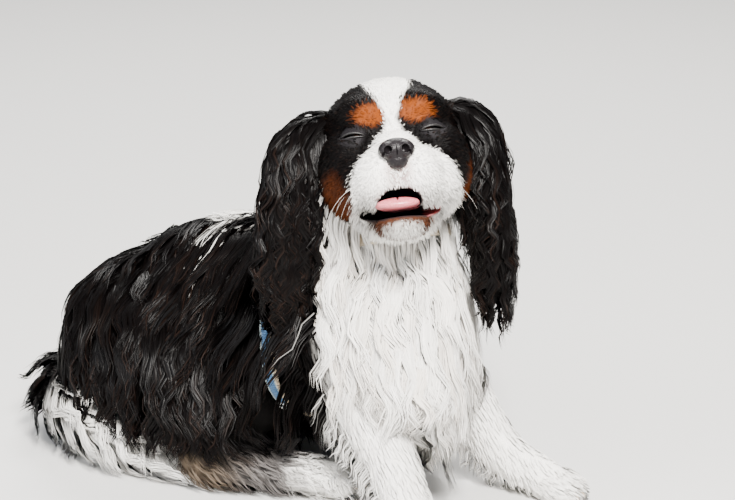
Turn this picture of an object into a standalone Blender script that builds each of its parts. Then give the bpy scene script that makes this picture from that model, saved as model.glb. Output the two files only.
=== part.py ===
# A life-size still model of a seated tricolour Cavalier King Charles Spaniel, for a museum floor.
# The dog faces +X, its left side is +Y, and it rests on the plane Z = 0. Metres throughout.
# The flesh is built as soft masses that are fused, then parted with thin cuts into the nodes
# that a person would name. Long coat is added as flat tapered locks rooted in each node.

import math
import random

import bmesh
import bpy
from mathutils import Euler, Matrix, Vector
from mathutils.bvhtree import BVHTree

GAP = 0.0003            # left between touching nodes
SPECK = 0.00001         # points nearer than this after a Boolean are one
NEARLY_FLAT = math.radians(1.0)
TRACE = 2e-12           # cubic metres that two nodes may share
CLEARANCE = 0.00042     # as far as a cutter stands outside the node it makes room for
COAT = 0.004            # the part of the coat that is dense enough to be solid under its locks

# The skull's centre, and how the head is turned: towards its right, lifted, and rolled a little
HEAD_AT = Vector((0.102, -0.046, 0.299))
HEAD_YAW = math.radians(-56)
HEAD_PITCH = math.radians(31)
HEAD_ROLL = math.radians(6)

# The head's own sizes, along its forward, left and upward axes
EYE_AT = (0.0355, 0.0270, -0.001)
EYE_RADIUS = 0.0105
LID_RADIUS = 0.0132
LID_SLIT = (0.012, 0.0105, 0.0017)      # half sizes of the narrowed opening between the lids
NOSE_AT = (0.0785, 0.0, -0.0225)
NOSE_RADII = (0.0085, 0.0145, 0.0095)

TRICOLOUR = {
    "black coat": ((0.012, 0.011, 0.012), 0.42),
    "white coat": ((0.80, 0.77, 0.72), 0.60),
    "tan coat": ((0.42, 0.17, 0.06), 0.55),
    "nose leather": ((0.03, 0.026, 0.028), 0.35),
    "tongue": ((0.75, 0.33, 0.34), 0.35),
    "eye": ((0.015, 0.008, 0.005), 0.08),
    "webbing": ((0.10, 0.22, 0.40), 0.75),
    "pale plastic": ((0.72, 0.72, 0.62), 0.45),
}


for old in list(bpy.data.objects):
    bpy.data.objects.remove(old)

dog = bpy.data.collections.new("cavalier king charles spaniel")
helpers = bpy.data.collections.new("cutters")
bpy.context.scene.collection.children.link(dog)
bpy.context.scene.collection.children.link(helpers)
helpers.hide_render = True


def material(name):
    """The Principled material of that name, made once."""
    found = bpy.data.materials.get(name)
    if found:
        return found
    colour, roughness = TRICOLOUR[name]
    made = bpy.data.materials.new(name)
    made.use_nodes = True
    shader = made.node_tree.nodes["Principled BSDF"]
    shader.inputs["Base Color"].default_value = (*colour, 1)
    shader.inputs["Roughness"].default_value = roughness
    shader.inputs["Metallic"].default_value = 0.0
    made.diffuse_color = (*colour, 1)
    return made


def new_object(name, mesh, collection=helpers):
    obj = bpy.data.objects.new(name, mesh)
    collection.objects.link(obj)
    if collection is helpers:
        obj.hide_render = True
        obj.display_type = "WIRE"
    return obj


def ball(centre, radii, turn=(0, 0, 0), detail=3):
    """An ellipsoid of those radii, turned by the three angles in degrees."""
    mesh = bpy.data.meshes.new("ball")
    shape = bmesh.new()
    bmesh.ops.create_icosphere(shape, subdivisions=detail, radius=1.0)
    shape.to_mesh(mesh)
    shape.free()
    spin = Euler([math.radians(angle) for angle in turn]).to_matrix().to_4x4()
    mesh.transform(Matrix.Translation(centre) @ spin @ Matrix.Diagonal((*radii, 1)))
    return new_object("ball", mesh)


def box(low, high, frame=None):
    """A box between two corners, in the given frame."""
    mesh = bpy.data.meshes.new("box")
    shape = bmesh.new()
    bmesh.ops.create_cube(shape, size=1.0)
    shape.to_mesh(mesh)
    shape.free()
    low, high = Vector(low), Vector(high)
    size = high - low
    mesh.transform(Matrix.Translation((low + high) / 2) @ Matrix.Diagonal((*size, 1)))
    if frame is not None:
        mesh.transform(frame)
    return new_object("box", mesh)


def evaluated(obj):
    """The object's mesh with its modifiers applied, the object itself left in place."""
    graph = bpy.context.evaluated_depsgraph_get()
    mesh = bpy.data.meshes.new_from_object(obj.evaluated_get(graph))
    mesh.transform(obj.matrix_world)
    return mesh


def settle(obj):
    """Applies the object's modifiers."""
    mesh = evaluated(obj)
    obj.modifiers.clear()
    obj.data = mesh
    obj.matrix_world = Matrix.Identity(4)
    return obj


def tube(points, radii):
    """A limb: a smooth curve through the points, as thick as each point's radius."""
    curve = bpy.data.curves.new("limb", "CURVE")
    curve.dimensions = "3D"
    curve.bevel_depth = 1.0
    curve.bevel_resolution = 3
    curve.resolution_u = 5
    curve.use_fill_caps = True
    spline = curve.splines.new("BEZIER")
    spline.bezier_points.add(len(points) - 1)
    for knot, place, radius in zip(spline.bezier_points, points, radii):
        knot.co = place
        knot.radius = radius
        knot.handle_left_type = knot.handle_right_type = "AUTO"
    obj = bpy.data.objects.new("limb", curve)
    helpers.objects.link(obj)
    bpy.context.view_layer.update()
    mesh = evaluated(obj)
    bpy.data.objects.remove(obj)
    return new_object("limb", mesh)


def joined(name, pieces):
    """The pieces as one object of several shells, the pieces themselves removed."""
    shape = bmesh.new()
    for piece in pieces:
        shape.from_mesh(piece.data)
        bpy.data.objects.remove(piece)
    mesh = bpy.data.meshes.new(name)
    shape.to_mesh(mesh)
    shape.free()
    return new_object(name, mesh)


def fused(name, pieces, voxel, smoothing, triangles):
    """The pieces melted into one soft form with about that many triangles."""
    obj = joined(name, pieces)
    remesh = obj.modifiers.new("melt", "REMESH")
    remesh.mode = "VOXEL"
    remesh.voxel_size = voxel
    smooth = obj.modifiers.new("soften", "SMOOTH")
    smooth.factor = 0.5
    smooth.iterations = smoothing
    settle(obj)
    count = sum(len(face.vertices) - 2 for face in obj.data.polygons)
    thin = obj.modifiers.new("lighten", "DECIMATE")
    thin.ratio = min(1.0, triangles / count)
    return settle(obj)


def boolean(obj, other, operation, solver="EXACT"):
    """Applies one Boolean, and removes nothing."""
    step = obj.modifiers.new(operation.lower(), "BOOLEAN")
    step.operation = operation
    step.object = other
    step.solver = solver
    return settle(obj)


def copy_of(obj, name="copy"):
    return new_object(name, obj.data.copy())


def grown(obj, distance=GAP):
    """A copy whose faces stand that far outside the object's, also at its sharp edges."""
    shape = bmesh.new()
    shape.from_mesh(obj.data)
    shape.normal_update()
    for vertex in shape.verts:
        slants = [vertex.normal.dot(face.normal) for face in vertex.link_faces]
        vertex.co += vertex.normal * distance / max(0.6, min(slants))
    mesh = bpy.data.meshes.new("grown")
    shape.to_mesh(mesh)
    shape.free()
    return new_object("grown", mesh)


def largest(obj):
    """Keeps the object's largest closed surface."""
    shape = bmesh.new()
    shape.from_mesh(obj.data)
    left = set(shape.faces)
    shells = []
    while left:
        reach = [left.pop()]
        shell = set(reach)
        while reach:
            for edge in reach.pop().edges:
                if len(edge.link_faces) != 2:
                    continue
                for face in edge.link_faces:
                    if face in left:
                        left.discard(face)
                        shell.add(face)
                        reach.append(face)
        shells.append(shell)
    keep = max(shells, key=len)
    bmesh.ops.delete(shape, geom=[face for face in shape.faces if face not in keep], context="FACES")
    shape.to_mesh(obj.data)
    shape.free()
    return obj


def tidied(obj):
    """Merges the points and the nearly flat faces that a Boolean left, and makes all faces triangles."""
    shape = bmesh.new()
    shape.from_mesh(obj.data)
    bmesh.ops.remove_doubles(shape, verts=shape.verts, dist=SPECK)
    bmesh.ops.dissolve_degenerate(shape, edges=shape.edges, dist=SPECK)
    bmesh.ops.dissolve_limit(shape, angle_limit=NEARLY_FLAT, verts=shape.verts, edges=shape.edges)
    bmesh.ops.triangulate(shape, faces=shape.faces)
    if all(len(edge.link_faces) == 2 for edge in shape.edges):
        shape.to_mesh(obj.data)
    shape.free()
    return obj


def closed(obj):
    """Whether every edge of the object lies between two faces."""
    shape = bmesh.new()
    shape.from_mesh(obj.data)
    whole = all(len(edge.link_faces) == 2 for edge in shape.edges)
    shape.free()
    return whole


def cut_from(flesh, cutter, name):
    """Parts the flesh along the cutter: what is inside it becomes a new object, what is outside stays."""
    part = boolean(copy_of(flesh, name), cutter, "INTERSECT")
    wide = grown(cutter)
    boolean(flesh, wide, "DIFFERENCE")
    bpy.data.objects.remove(wide)
    bpy.data.objects.remove(cutter)
    return part


def node(obj, name, finish):
    """Makes the object a named node of the dog with that finish."""
    obj.name = name
    obj.data.materials.clear()
    obj.data.materials.append(material(finish))
    helpers.objects.unlink(obj)
    dog.objects.link(obj)
    obj.hide_render = False
    obj.display_type = "TEXTURED"
    obj.data.shade_smooth()
    obj.data.set_sharp_from_angle(angle=math.radians(50))
    return obj


def facing(direction, up=(0, 0, 1), at=(0, 0, 0)):
    """A frame at a point whose X runs along the direction and whose Z leans to up."""
    x = Vector(direction).normalized()
    y = Vector(up).cross(x).normalized()
    z = x.cross(y)
    frame = Matrix((x, y, z)).transposed().to_4x4()
    frame.translation = Vector(at)
    return frame


HEAD_FRAME = (
    Matrix.Translation(HEAD_AT)
    @ Matrix.Rotation(HEAD_YAW, 4, "Z")
    @ Matrix.Rotation(-HEAD_PITCH, 4, "Y")
    @ Matrix.Rotation(HEAD_ROLL, 4, "X")
)


def on_head(forward, left, up):
    return HEAD_FRAME @ Vector((forward, left, up))


def head_ball(place, radii, turn=(0, 0, 0), detail=3):
    piece = ball(place, radii, turn, detail)
    piece.data.transform(HEAD_FRAME)
    return piece


def both_sides(place, radii, turn=(0, 0, 0)):
    """A pair of head masses, mirrored across its midline."""
    forward, left, up = place
    roll, pitch, yaw = turn
    return [
        head_ball((forward, side * left, up), radii, (side * roll, pitch, side * yaw))
        for side in (-1, 1)
    ]


# The trunk, from the rump on the floor to the shoulders
TRUNK = [
    # place, radii and turn of each mass
    ((-0.165, 0.000, 0.078), (0.080, 0.080, 0.083), (0, 0, 0)),
    ((-0.105, 0.000, 0.112), (0.085, 0.076, 0.083), (0, -14, 0)),
    ((-0.045, -0.003, 0.130), (0.085, 0.076, 0.080), (0, -8, 0)),
    ((0.010, -0.010, 0.142), (0.075, 0.073, 0.082), (0, 0, 0)),
    ((0.045, -0.022, 0.145), (0.062, 0.072, 0.080), (0, 0, 0)),
    ((0.078, -0.034, 0.150), (0.058, 0.058, 0.068), (0, 0, -25)),
    ((0.012, -0.010, 0.198), (0.050, 0.040, 0.035), (0, 0, 0)),
]
NECK_POINTS = [(0.020, -0.012, 0.180), (0.050, -0.028, 0.230), (0.080, -0.040, 0.285)]
NECK_RADII = [0.062, 0.052, 0.046]


def thickened(radii, more=COAT):
    return [radius + more for radius in radii]


trunk = fused(
    "trunk",
    [ball(place, thickened(radii), turn) for place, radii, turn in TRUNK]
    + [tube(NECK_POINTS, thickened(NECK_RADII))],
    voxel=0.004,
    smoothing=6,
    triangles=900,
)

# Each thigh lies folded on the floor beside the rump, and the shank runs back down to the hock
HIP = (-0.150, 0.048, 0.095)
KNEE = (-0.012, 0.080, 0.078)
HOCK = (-0.045, 0.108, 0.024)
TOES = {-1: (0.058, -0.064, 0.015), 1: (0.060, 0.105, 0.015)}
THIGH_INSIDE = 0.036    # from the midline to the cut that parts a thigh from the trunk


def mirrored(point, side):
    return Vector((point[0], side * point[1], point[2]))


def hind_leg(side):
    hip, knee, hock = (mirrored(point, side) for point in (HIP, KNEE, HOCK))
    thigh = tube([hip, hip.lerp(knee, 0.5) + Vector((0, side * 0.006, 0.004)), knee], thickened([0.066, 0.058, 0.032]))
    shank = tube([knee, knee.lerp(hock, 0.5), hock], [0.034, 0.026, 0.020])
    seat = ball(hip.lerp(knee, 0.35) + Vector((0, side * 0.006, -0.028)), (0.085, 0.040, 0.052))
    limb = fused("hind leg", [thigh, shank, seat], voxel=0.0035, smoothing=4, triangles=340)
    inner = side * THIGH_INSIDE
    outer = side * 0.4
    return boolean(limb, box((-0.5, min(inner, outer), -0.2), (0.5, max(inner, outer), 0.5)), "INTERSECT")


def hind_foot(side):
    """The long foot from the hock to the toes, flat on the floor."""
    hock, toes = mirrored(HOCK, side), Vector(TOES[side])
    heel = ball(hock + Vector((-0.004, 0, 0)), (0.021, 0.018, 0.021))
    return fused("foot", [heel, tube([hock, hock.lerp(toes, 0.5), toes], [0.019, 0.015, 0.017])], 0.003, 3, 130)


# Each foreleg is propped out in front
FORELEG = {
    -1: [(0.055, -0.068, 0.140), (0.078, -0.072, 0.112), (0.1225, -0.085, 0.060), (0.145, -0.092, 0.026)],
    1: [(0.072, 0.020, 0.140), (0.098, 0.024, 0.105), (0.135, 0.029, 0.060), (0.162, 0.031, 0.030)],
}
FORELEG_RADII = [0.034, 0.030, 0.021, 0.0185]
FORE_PAW = {-1: (0.165, -0.096, 0.013), 1: (0.2065, 0.034, 0.013)}


def foreleg(side):
    paw = Vector(FORE_PAW[side])
    limb = tube([*FORELEG[side], paw], [*FORELEG_RADII, 0.015])
    return fused("foreleg", [limb], voxel=0.003, smoothing=3, triangles=200)


def paw(centre, heading, name):
    """A small rounded foot: a pad, four toes and their claws."""
    frame = facing((math.cos(heading), math.sin(heading), 0), at=centre)
    pieces = [ball((-0.004, 0, 0.000), (0.020, 0.0175, 0.0145))]
    for place in (-1.5, -0.5, 0.5, 1.5):
        reach = 0.013 - 0.0022 * place * place
        pieces.append(ball((reach, place * 0.0088, -0.0015), (0.0125, 0.0062, 0.0105), (0, 12, place * 6)))
    for piece in pieces:
        piece.data.transform(frame)
    return fused(name, pieces, voxel=0.0016, smoothing=3, triangles=190)


# The head: cranium, brows, cheeks, muzzle, flews and lower jaw
head_pieces = [
    head_ball((-0.006, 0.0, 0.010), (0.055, 0.052, 0.045)),
    head_ball((0.048, 0.0, -0.020), (0.034, 0.020, 0.018), (0, 8, 0)),
    head_ball((0.008, 0.0, -0.030), (0.045, 0.048, 0.036)),
]
head_pieces += both_sides((0.024, 0.021, 0.020), (0.024, 0.021, 0.017))
head_pieces += both_sides((0.014, 0.034, -0.020), (0.038, 0.023, 0.033))
head_pieces += both_sides((0.055, 0.0165, -0.038), (0.0245, 0.0185, 0.0215), (0, -6, -8))
head_pieces += both_sides((0.036, 0.027, -0.036), (0.027, 0.021, 0.024))
head_pieces += both_sides(EYE_AT, (LID_RADIUS,) * 3)
skull = fused("head", head_pieces, voxel=0.0022, smoothing=4, triangles=1000)

jaw_pieces = [
    head_ball((0.040, 0.0, -0.0715), (0.029, 0.0205, 0.0095), (0, 14, 0)),
    head_ball((0.010, 0.0, -0.0565), (0.036, 0.032, 0.0165), (0, 10, 0)),
]
jaw = fused("jaw", jaw_pieces, voxel=0.0022, smoothing=3, triangles=160)

# The nose leather, with its two nostrils
nose = fused(
    "nose",
    [head_ball(NOSE_AT, NOSE_RADII), head_ball((0.0765, 0, -0.0290), (0.0070, 0.0085, 0.0065))],
    voxel=0.0011,
    smoothing=2,
    triangles=140,
)


def eye_direction(side):
    return Vector((0.86, side * 0.50, 0.10)).normalized()


eyes = {}
for side in (-1, 1):
    place = Vector((EYE_AT[0], side * EYE_AT[1], EYE_AT[2]))
    look = facing(eye_direction(side), at=place)
    slit = ball((0.009, 0, -0.0005), LID_SLIT, detail=2)
    slit.data.transform(HEAD_FRAME @ look)
    boolean(skull, slit, "DIFFERENCE")
    socket = head_ball(place, (EYE_RADIUS + GAP,) * 3, detail=2)
    boolean(skull, socket, "DIFFERENCE")
    eyes[side] = head_ball(place, (EYE_RADIUS,) * 3, detail=2)

for side in (-1, 1):
    nostril = head_ball((0.0865, side * 0.0072, -0.0235), (0.0062, 0.0028, 0.0034), (side * 25, 0, side * 18), 1)
    boolean(nose, nostril, "DIFFERENCE")
philtrum = head_ball((0.0870, 0.0, -0.0310), (0.0050, 0.0007, 0.0070), (0, 8, 0), 1)
boolean(nose, philtrum, "DIFFERENCE")

# The open mouth: the gap between the flews and the jaw, with the tongue lying in it
mouth = head_ball((0.054, 0.0, -0.0560), (0.036, 0.0215, 0.0100), (0, 12, 0), 2)
boolean(skull, mouth, "DIFFERENCE")
mouth_back = head_ball((0.036, 0.0, -0.0600), (0.034, 0.036, 0.0060), (0, 16, 0), 2)
boolean(skull, mouth_back, "DIFFERENCE")
tongue = fused(
    "tongue",
    [
        head_ball((0.0480, 0.0, -0.0590), (0.0200, 0.0180, 0.0036), (0, 14, 0)),
        head_ball((0.0300, 0.0, -0.0560), (0.0200, 0.0160, 0.0050), (0, 10, 0)),
    ],
    voxel=0.0013,
    smoothing=2,
    triangles=120,
)


def loft(stations, sides=14):
    """A closed solid through oval sections: each has a centre, a half width along its first axis, a half
    depth along its second axis, and the first axis itself. Its ends close on a point."""
    shape = bmesh.new()
    rings = []
    for index, (centre, width, depth, across) in enumerate(stations):
        before = Vector(stations[max(0, index - 1)][0])
        after = Vector(stations[min(len(stations) - 1, index + 1)][0])
        along = (after - before).normalized()
        across = Vector(across)
        across = (across - along * across.dot(along)).normalized()
        out = along.cross(across)
        ring = []
        for step in range(sides):
            angle = 2 * math.pi * step / sides
            offset = across * (width * math.cos(angle)) + out * (depth * math.sin(angle))
            ring.append(shape.verts.new(Vector(centre) + offset))
        rings.append(ring)
    for ring, after in zip(rings, rings[1:]):
        for step in range(sides):
            ahead = (step + 1) % sides
            shape.faces.new((ring[step], ring[ahead], after[ahead], after[step]))
    shape.faces.new(tuple(reversed(rings[0])))
    shape.faces.new(tuple(rings[-1]))
    bmesh.ops.recalc_face_normals(shape, faces=shape.faces)
    mesh = bpy.data.meshes.new("loft")
    shape.to_mesh(mesh)
    shape.free()
    return new_object("loft", mesh)


# Each ear's leather hangs from the side of the skull, cupped towards it; its hair hangs on to the breast
EAR_LINE = {
    -1: [
        (on_head(-0.006, -0.038, 0.024), 0.014, 0.012),
        (on_head(-0.006, -0.060, 0.022), 0.018, 0.011),
        (Vector((0.040, -0.088, 0.292)), 0.019, 0.010),
        (Vector((0.039, -0.100, 0.239)), 0.022, 0.010),
        (Vector((0.040, -0.105, 0.200)), 0.018, 0.009),
        (Vector((0.041, -0.106, 0.180)), 0.008, 0.005),
    ],
    1: [
        (on_head(-0.006, 0.038, 0.024), 0.012, 0.014),
        (on_head(-0.006, 0.060, 0.022), 0.011, 0.018),
        (Vector((0.156, 0.003, 0.296)), 0.010, 0.019),
        (Vector((0.166, 0.004, 0.239)), 0.010, 0.022),
        (Vector((0.170, 0.005, 0.200)), 0.009, 0.018),
        (Vector((0.170, 0.004, 0.180)), 0.005, 0.008),
    ],
}
EAR_ACROSS = (0.829, 0.559, 0.0)
ears = {}
for side in (-1, 1):
    stations = [(place, width, depth, EAR_ACROSS) for place, width, depth in EAR_LINE[side]]
    ears[side] = fused("ear", [loft(stations)], voxel=0.003, smoothing=3, triangles=200)
    fold = EAR_LINE[side][3][0]
    inward = (Vector((*on_head(0, 0, 0).xy, fold.z)) - fold).normalized()
    cup = ball(fold.lerp(EAR_LINE[side][2][0], 0.4) + inward * 0.012, (0.010, 0.010, 0.036), detail=2)
    boolean(ears[side], cup, "DIFFERENCE")

TAIL_POINTS = [
    (-0.228, 0.000, 0.050),
    (-0.236, -0.042, 0.044),
    (-0.208, -0.076, 0.040),
    (-0.165, -0.092, 0.033),
    (-0.120, -0.095, 0.023),
    (-0.075, -0.092, 0.012),
]
TAIL_RADII = [0.012, 0.016, 0.017, 0.016, 0.011, 0.004]
tail = fused("tail", [tube(TAIL_POINTS, thickened(TAIL_RADII))], voxel=0.003, smoothing=3, triangles=210)

hind = {side: hind_leg(side) for side in (-1, 1)}
feet = {side: hind_foot(side) for side in (-1, 1)}
fore = {side: foreleg(side) for side in (-1, 1)}
fore_paws = {-1: paw(FORE_PAW[-1], math.radians(-18), "paw"), 1: paw(FORE_PAW[1], math.radians(-4), "paw")}
hind_paws = {
    side: paw(TOES[side], math.atan2(TOES[side][1] - side * HOCK[1], TOES[side][0] - HOCK[0]), "paw")
    for side in (-1, 1)
}

# The harness: a loop round the neck's base and a girth strap behind the elbows, drawn round the bare trunk
STRAP_WIDTH = 0.010
STRAP_THICK = 0.0016
GIRTH_AT = (0.010, 0.0, 0.14)
NECK_LOOP_TOP = Vector((-0.004, -0.008, 0.232))
NECK_LOOP_FRONT = Vector((0.138, -0.064, 0.186))


def plane_frame(at, normal, along):
    """A frame whose X is the plane's normal."""
    return facing(normal, up=along, at=at)


loop_along = (NECK_LOOP_FRONT - NECK_LOOP_TOP).normalized()
loop_side = Vector((0.42, 0.906, 0.0)).normalized()
loop_normal = loop_side.cross(loop_along).normalized()
if loop_normal.z < 0:
    loop_normal.negate()
NECK_PLANE = plane_frame((NECK_LOOP_TOP + NECK_LOOP_FRONT) / 2, loop_normal, loop_along)
GIRTH_PLANE = plane_frame(GIRTH_AT, (1, 0, 0.05), (0, 0, 1))
RUMP_PLANE = plane_frame((-0.105, 0, 0.11), (1, 0, -0.25), (0, 0, 1))
NECK_AXIS = Vector((0.57, -0.246, 0.785)).normalized()
HEAD_PLANE = plane_frame(HEAD_AT - 0.046 * NECK_AXIS, NECK_AXIS, (1, 0, 0.2))
FAR = 0.6


def strap(frame, name):
    slab = box((-STRAP_WIDTH / 2, -FAR, -FAR), (STRAP_WIDTH / 2, FAR, FAR), frame)
    outer = boolean(grown(trunk, GAP + STRAP_THICK), slab, "INTERSECT")
    inner = grown(trunk, GAP)
    boolean(outer, inner, "DIFFERENCE")
    outer.name = name
    return largest(outer)


neck_loop = strap(NECK_PLANE, "neck loop")
girth = strap(GIRTH_PLANE, "girth")


def ahead_of(frame):
    return box((0, -FAR, -FAR), (FAR, FAR, FAR), frame)


boolean(skull, box((-FAR, -FAR, -FAR), (GAP, FAR, FAR), HEAD_PLANE), "DIFFERENCE")
boolean(trunk, ahead_of(HEAD_PLANE), "DIFFERENCE")
neck = cut_from(trunk, ahead_of(NECK_PLANE), "neck")
chest = cut_from(trunk, ahead_of(GIRTH_PLANE), "chest")
barrel = cut_from(trunk, ahead_of(RUMP_PLANE), "barrel")
rump = trunk


def boxes_meet(a, b):
    for axis in range(3):
        first = [v.co[axis] for v in a.data.vertices]
        second = [v.co[axis] for v in b.data.vertices]
        if min(first) > max(second) or min(second) > max(first):
            return False
    return True


def shared_volume(a, b):
    """How much of the first object lies in the second, in cubic metres."""
    common = boolean(copy_of(a), b, "INTERSECT", solver="MANIFOLD")
    shape = bmesh.new()
    shape.from_mesh(common.data)
    volume = abs(shape.calc_volume())
    shape.free()
    bpy.data.objects.remove(common)
    return volume


def clear_of(obj, *others):
    """Cuts the object back so that it stands clear of the others by the gap. The cutter folds over itself
    in tight creases, which the exact solver doesn't take, and a wider one clears what that leaves."""
    for other in others:
        for wider in (1.0, 2.2, 3.0):
            if wider > 1 and shared_volume(obj, other) < TRACE:
                break
            if boxes_meet(obj, other):
                wide = grown(other, CLEARANCE * wider)
                boolean(obj, wide, "DIFFERENCE", solver="MANIFOLD")
                bpy.data.objects.remove(wide)
    return largest(obj)


BIB_POINTS = [(0.105, -0.052, 0.165), (0.132, -0.060, 0.120), (0.150, -0.061, 0.080), (0.164, -0.060, 0.052)]
BIB_RADII = [0.040, 0.036, 0.024, 0.003]
boolean(chest, fused("bib", [tube(BIB_POINTS, thickened(BIB_RADII))], 0.004, 3, 180), "UNION")

clear_of(girth, neck_loop)
clear_of(tongue, skull)
clear_of(jaw, skull, tongue)
clear_of(nose, skull)
for side in (-1, 1):
    clear_of(fore[side], fore_paws[side], girth, neck_loop)
    clear_of(feet[side], hind_paws[side])
    clear_of(hind[side], feet[side], girth)
clear_of(feet[-1], tail)
clear_of(hind[-1], tail)
clear_of(neck, jaw, skull, ears[-1], ears[1])
clear_of(chest, fore[-1], fore[1], jaw, hind[-1], hind[1], neck_loop, neck, girth)
clear_of(barrel, hind[-1], hind[1], fore[-1], fore[1])
clear_of(rump, hind[-1], hind[1], tail)
for side in (-1, 1):
    clear_of(ears[side], skull, jaw, neck, chest, fore[side], barrel, neck_loop, girth, hind[side])

floor = box((-FAR, -FAR, -0.2), (FAR, FAR, 0))
flesh = {
    "head": (skull, "black coat"),
    "jaw": (jaw, "white coat"),
    "nose": (nose, "nose leather"),
    "tongue": (tongue, "tongue"),
    "eye_right": (eyes[-1], "eye"),
    "eye_left": (eyes[1], "eye"),
    "ear_right": (ears[-1], "black coat"),
    "ear_left": (ears[1], "black coat"),
    "neck": (neck, "white coat"),
    "chest": (chest, "white coat"),
    "barrel": (barrel, "black coat"),
    "rump": (rump, "black coat"),
    "foreleg_right": (fore[-1], "white coat"),
    "foreleg_left": (fore[1], "white coat"),
    "fore_paw_right": (fore_paws[-1], "white coat"),
    "fore_paw_left": (fore_paws[1], "white coat"),
    "hind_leg_right": (hind[-1], "black coat"),
    "hind_leg_left": (hind[1], "black coat"),
    "hind_foot_right": (feet[-1], "white coat"),
    "hind_foot_left": (feet[1], "white coat"),
    "hind_paw_right": (hind_paws[-1], "white coat"),
    "hind_paw_left": (hind_paws[1], "white coat"),
    "tail": (tail, "white coat"),
    "harness_neck_loop": (neck_loop, "webbing"),
    "harness_girth_strap": (girth, "webbing"),
}
for piece, finish in flesh.values():
    if min(v.co.z for v in piece.data.vertices) < 0:
        boolean(piece, floor, "DIFFERENCE")
    largest(piece)
    tidied(piece)

# The long coat: flat tapered locks that leave the skin, bend over along the lie of the hair and overlap.
# Each ring of a lock has its place along the lock and its share of the full width.
LOCK_RINGS = ((0.0, 0.60), (0.22, 0.95), (0.46, 1.00), (0.72, 0.76))
LOCK_SUNK = 0.006       # how deep a root sits in its node
LOCK_THICK = 0.0038
LOCK_STEPS = 12
ROOM = 0.0011           # kept between a lock and another node, before the check of the whole lock
LOWEST = 0.0035         # of a lock's middle line above the floor
chance = random.Random()


def tree_of(obj):
    mesh = obj.data
    return BVHTree.FromPolygons([v.co for v in mesh.vertices], [tuple(face.vertices) for face in mesh.polygons])


trees = {name: tree_of(piece) for name, (piece, finish) in flesh.items()}


def along(line, share):
    """The point at that share of a line of points, and the line's direction there."""
    place = share * (len(line) - 1)
    index = min(int(place), len(line) - 2)
    first, second = Vector(line[index]), Vector(line[index + 1])
    return first.lerp(second, place - index), (second - first).normalized()


def roots_of(name, line, zero, tiers, arc, count):
    """Places on the node's surface in tiers along its line, in each tier spread over the arc, in degrees
    from the direction zero and staggered from tier to tier."""
    found = []
    for tier, share in enumerate(tiers):
        spot, axis = along(line, share)
        start = (Vector(zero) - axis * axis.dot(Vector(zero))).normalized()
        for step in range(count):
            part = (step + (0.25 if tier % 2 else 0.75) + chance.uniform(-0.15, 0.15)) / count
            out = Matrix.Rotation(math.radians(arc[0] + (arc[1] - arc[0]) * part), 3, axis) @ start
            place, normal, face, distance = trees[name].ray_cast(spot + out * 0.3, -out, 0.3)
            if place is not None:
                found.append((place, normal))
    return found


def push_out(place, name, room):
    """The place moved so that it keeps that room outside the named node."""
    surface, normal, face, distance = trees[name].find_nearest(place, 0.06)
    if surface is None:
        return place
    height = (place - surface).dot(normal)
    if distance < room or height < 0:
        return surface + normal * room
    return place


def lock_line(name, root, normal, lie, length, width, rise, lift, wave):
    """The middle line of one lock."""
    points = [root - normal * LOCK_SUNK]
    heading = (normal * rise + lie(root).normalized()).normalized()
    place = root.copy()
    sway = chance.uniform(0, 2 * math.pi)
    side = heading.cross(normal).normalized()
    step = length / LOCK_STEPS
    for index in range(1, LOCK_STEPS + 1):
        share = index / LOCK_STEPS
        heading = heading.lerp(lie(place).normalized(), 0.35).normalized()
        swing = side * (wave * math.cos(sway + share * 5.0))
        place = place + (heading + swing).normalized() * step
        bump = lift * math.sin(math.pi * min(1.0, 0.25 + share * 0.9)) + LOCK_THICK * 0.5
        place = push_out(place, name, bump)
        for other in trees:
            if other != name:
                place = push_out(place, other, ROOM + LOCK_THICK / 2 + width * 0.10 * (1 - 0.6 * share))
        place.z = max(place.z, LOWEST)
        points.append(place.copy())
    for again in range(2):
        for before, middle, after in zip(points, points[1:], points[2:]):
            middle.xyz = middle.lerp(before.lerp(after, 0.5), 0.5)
    return points


def lock_mesh(name, points, width, thick):
    """The lock itself: a flat blade with a low ridge, closed at the root and drawn to a point."""
    shape = bmesh.new()
    rings = []
    out = None
    for share, breadth in LOCK_RINGS:
        centre, heading = along(points, share)
        near = [tree.find_nearest(centre, 0.2) for tree in trees.values()]
        normal = min((found for found in near if found[0] is not None), key=lambda found: found[3])[1]
        if out is not None:
            normal = (normal * 0.6 + out).normalized()
        out = normal - heading * heading.dot(normal)
        out.normalize()
        across = heading.cross(out)
        deep = thick * (0.5 + 0.5 * breadth)
        corners = [
            centre + across * width * breadth / 2 - out * deep * 0.35,
            centre + out * deep * 0.65,
            centre - across * width * breadth / 2 - out * deep * 0.35,
        ]
        rings.append([shape.verts.new((c.x, c.y, max(c.z, 0.0006 + 0.0004 * k))) for k, c in enumerate(corners)])
    tip = shape.verts.new(points[-1])
    for ring, after in zip(rings, rings[1:]):
        for k in range(3):
            shape.faces.new((ring[k], after[k], after[(k + 1) % 3], ring[(k + 1) % 3]))
    for k in range(3):
        shape.faces.new((rings[-1][k], tip, rings[-1][(k + 1) % 3]))
    shape.faces.new(rings[0])
    bmesh.ops.recalc_face_normals(shape, faces=shape.faces)
    bmesh.ops.triangulate(shape, faces=shape.faces)
    mesh = bpy.data.meshes.new("lock")
    shape.to_mesh(mesh)
    shape.free()
    return mesh


def crosses(mesh, name):
    """Whether the lock folds through itself or touches a node other than its own."""
    sides = [tuple(face.vertices) for face in mesh.polygons]
    own = BVHTree.FromPolygons([v.co for v in mesh.vertices], sides)
    for first, second in own.overlap(own):
        if not set(sides[first]) & set(sides[second]):
            return True
    for other, tree in trees.items():
        if other == name:
            continue
        if own.overlap(tree):
            return True
        for vertex in mesh.vertices:
            surface, normal, face, distance = tree.find_nearest(vertex.co, 0.0004)
            if surface is not None:
                return True
    return False


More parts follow.
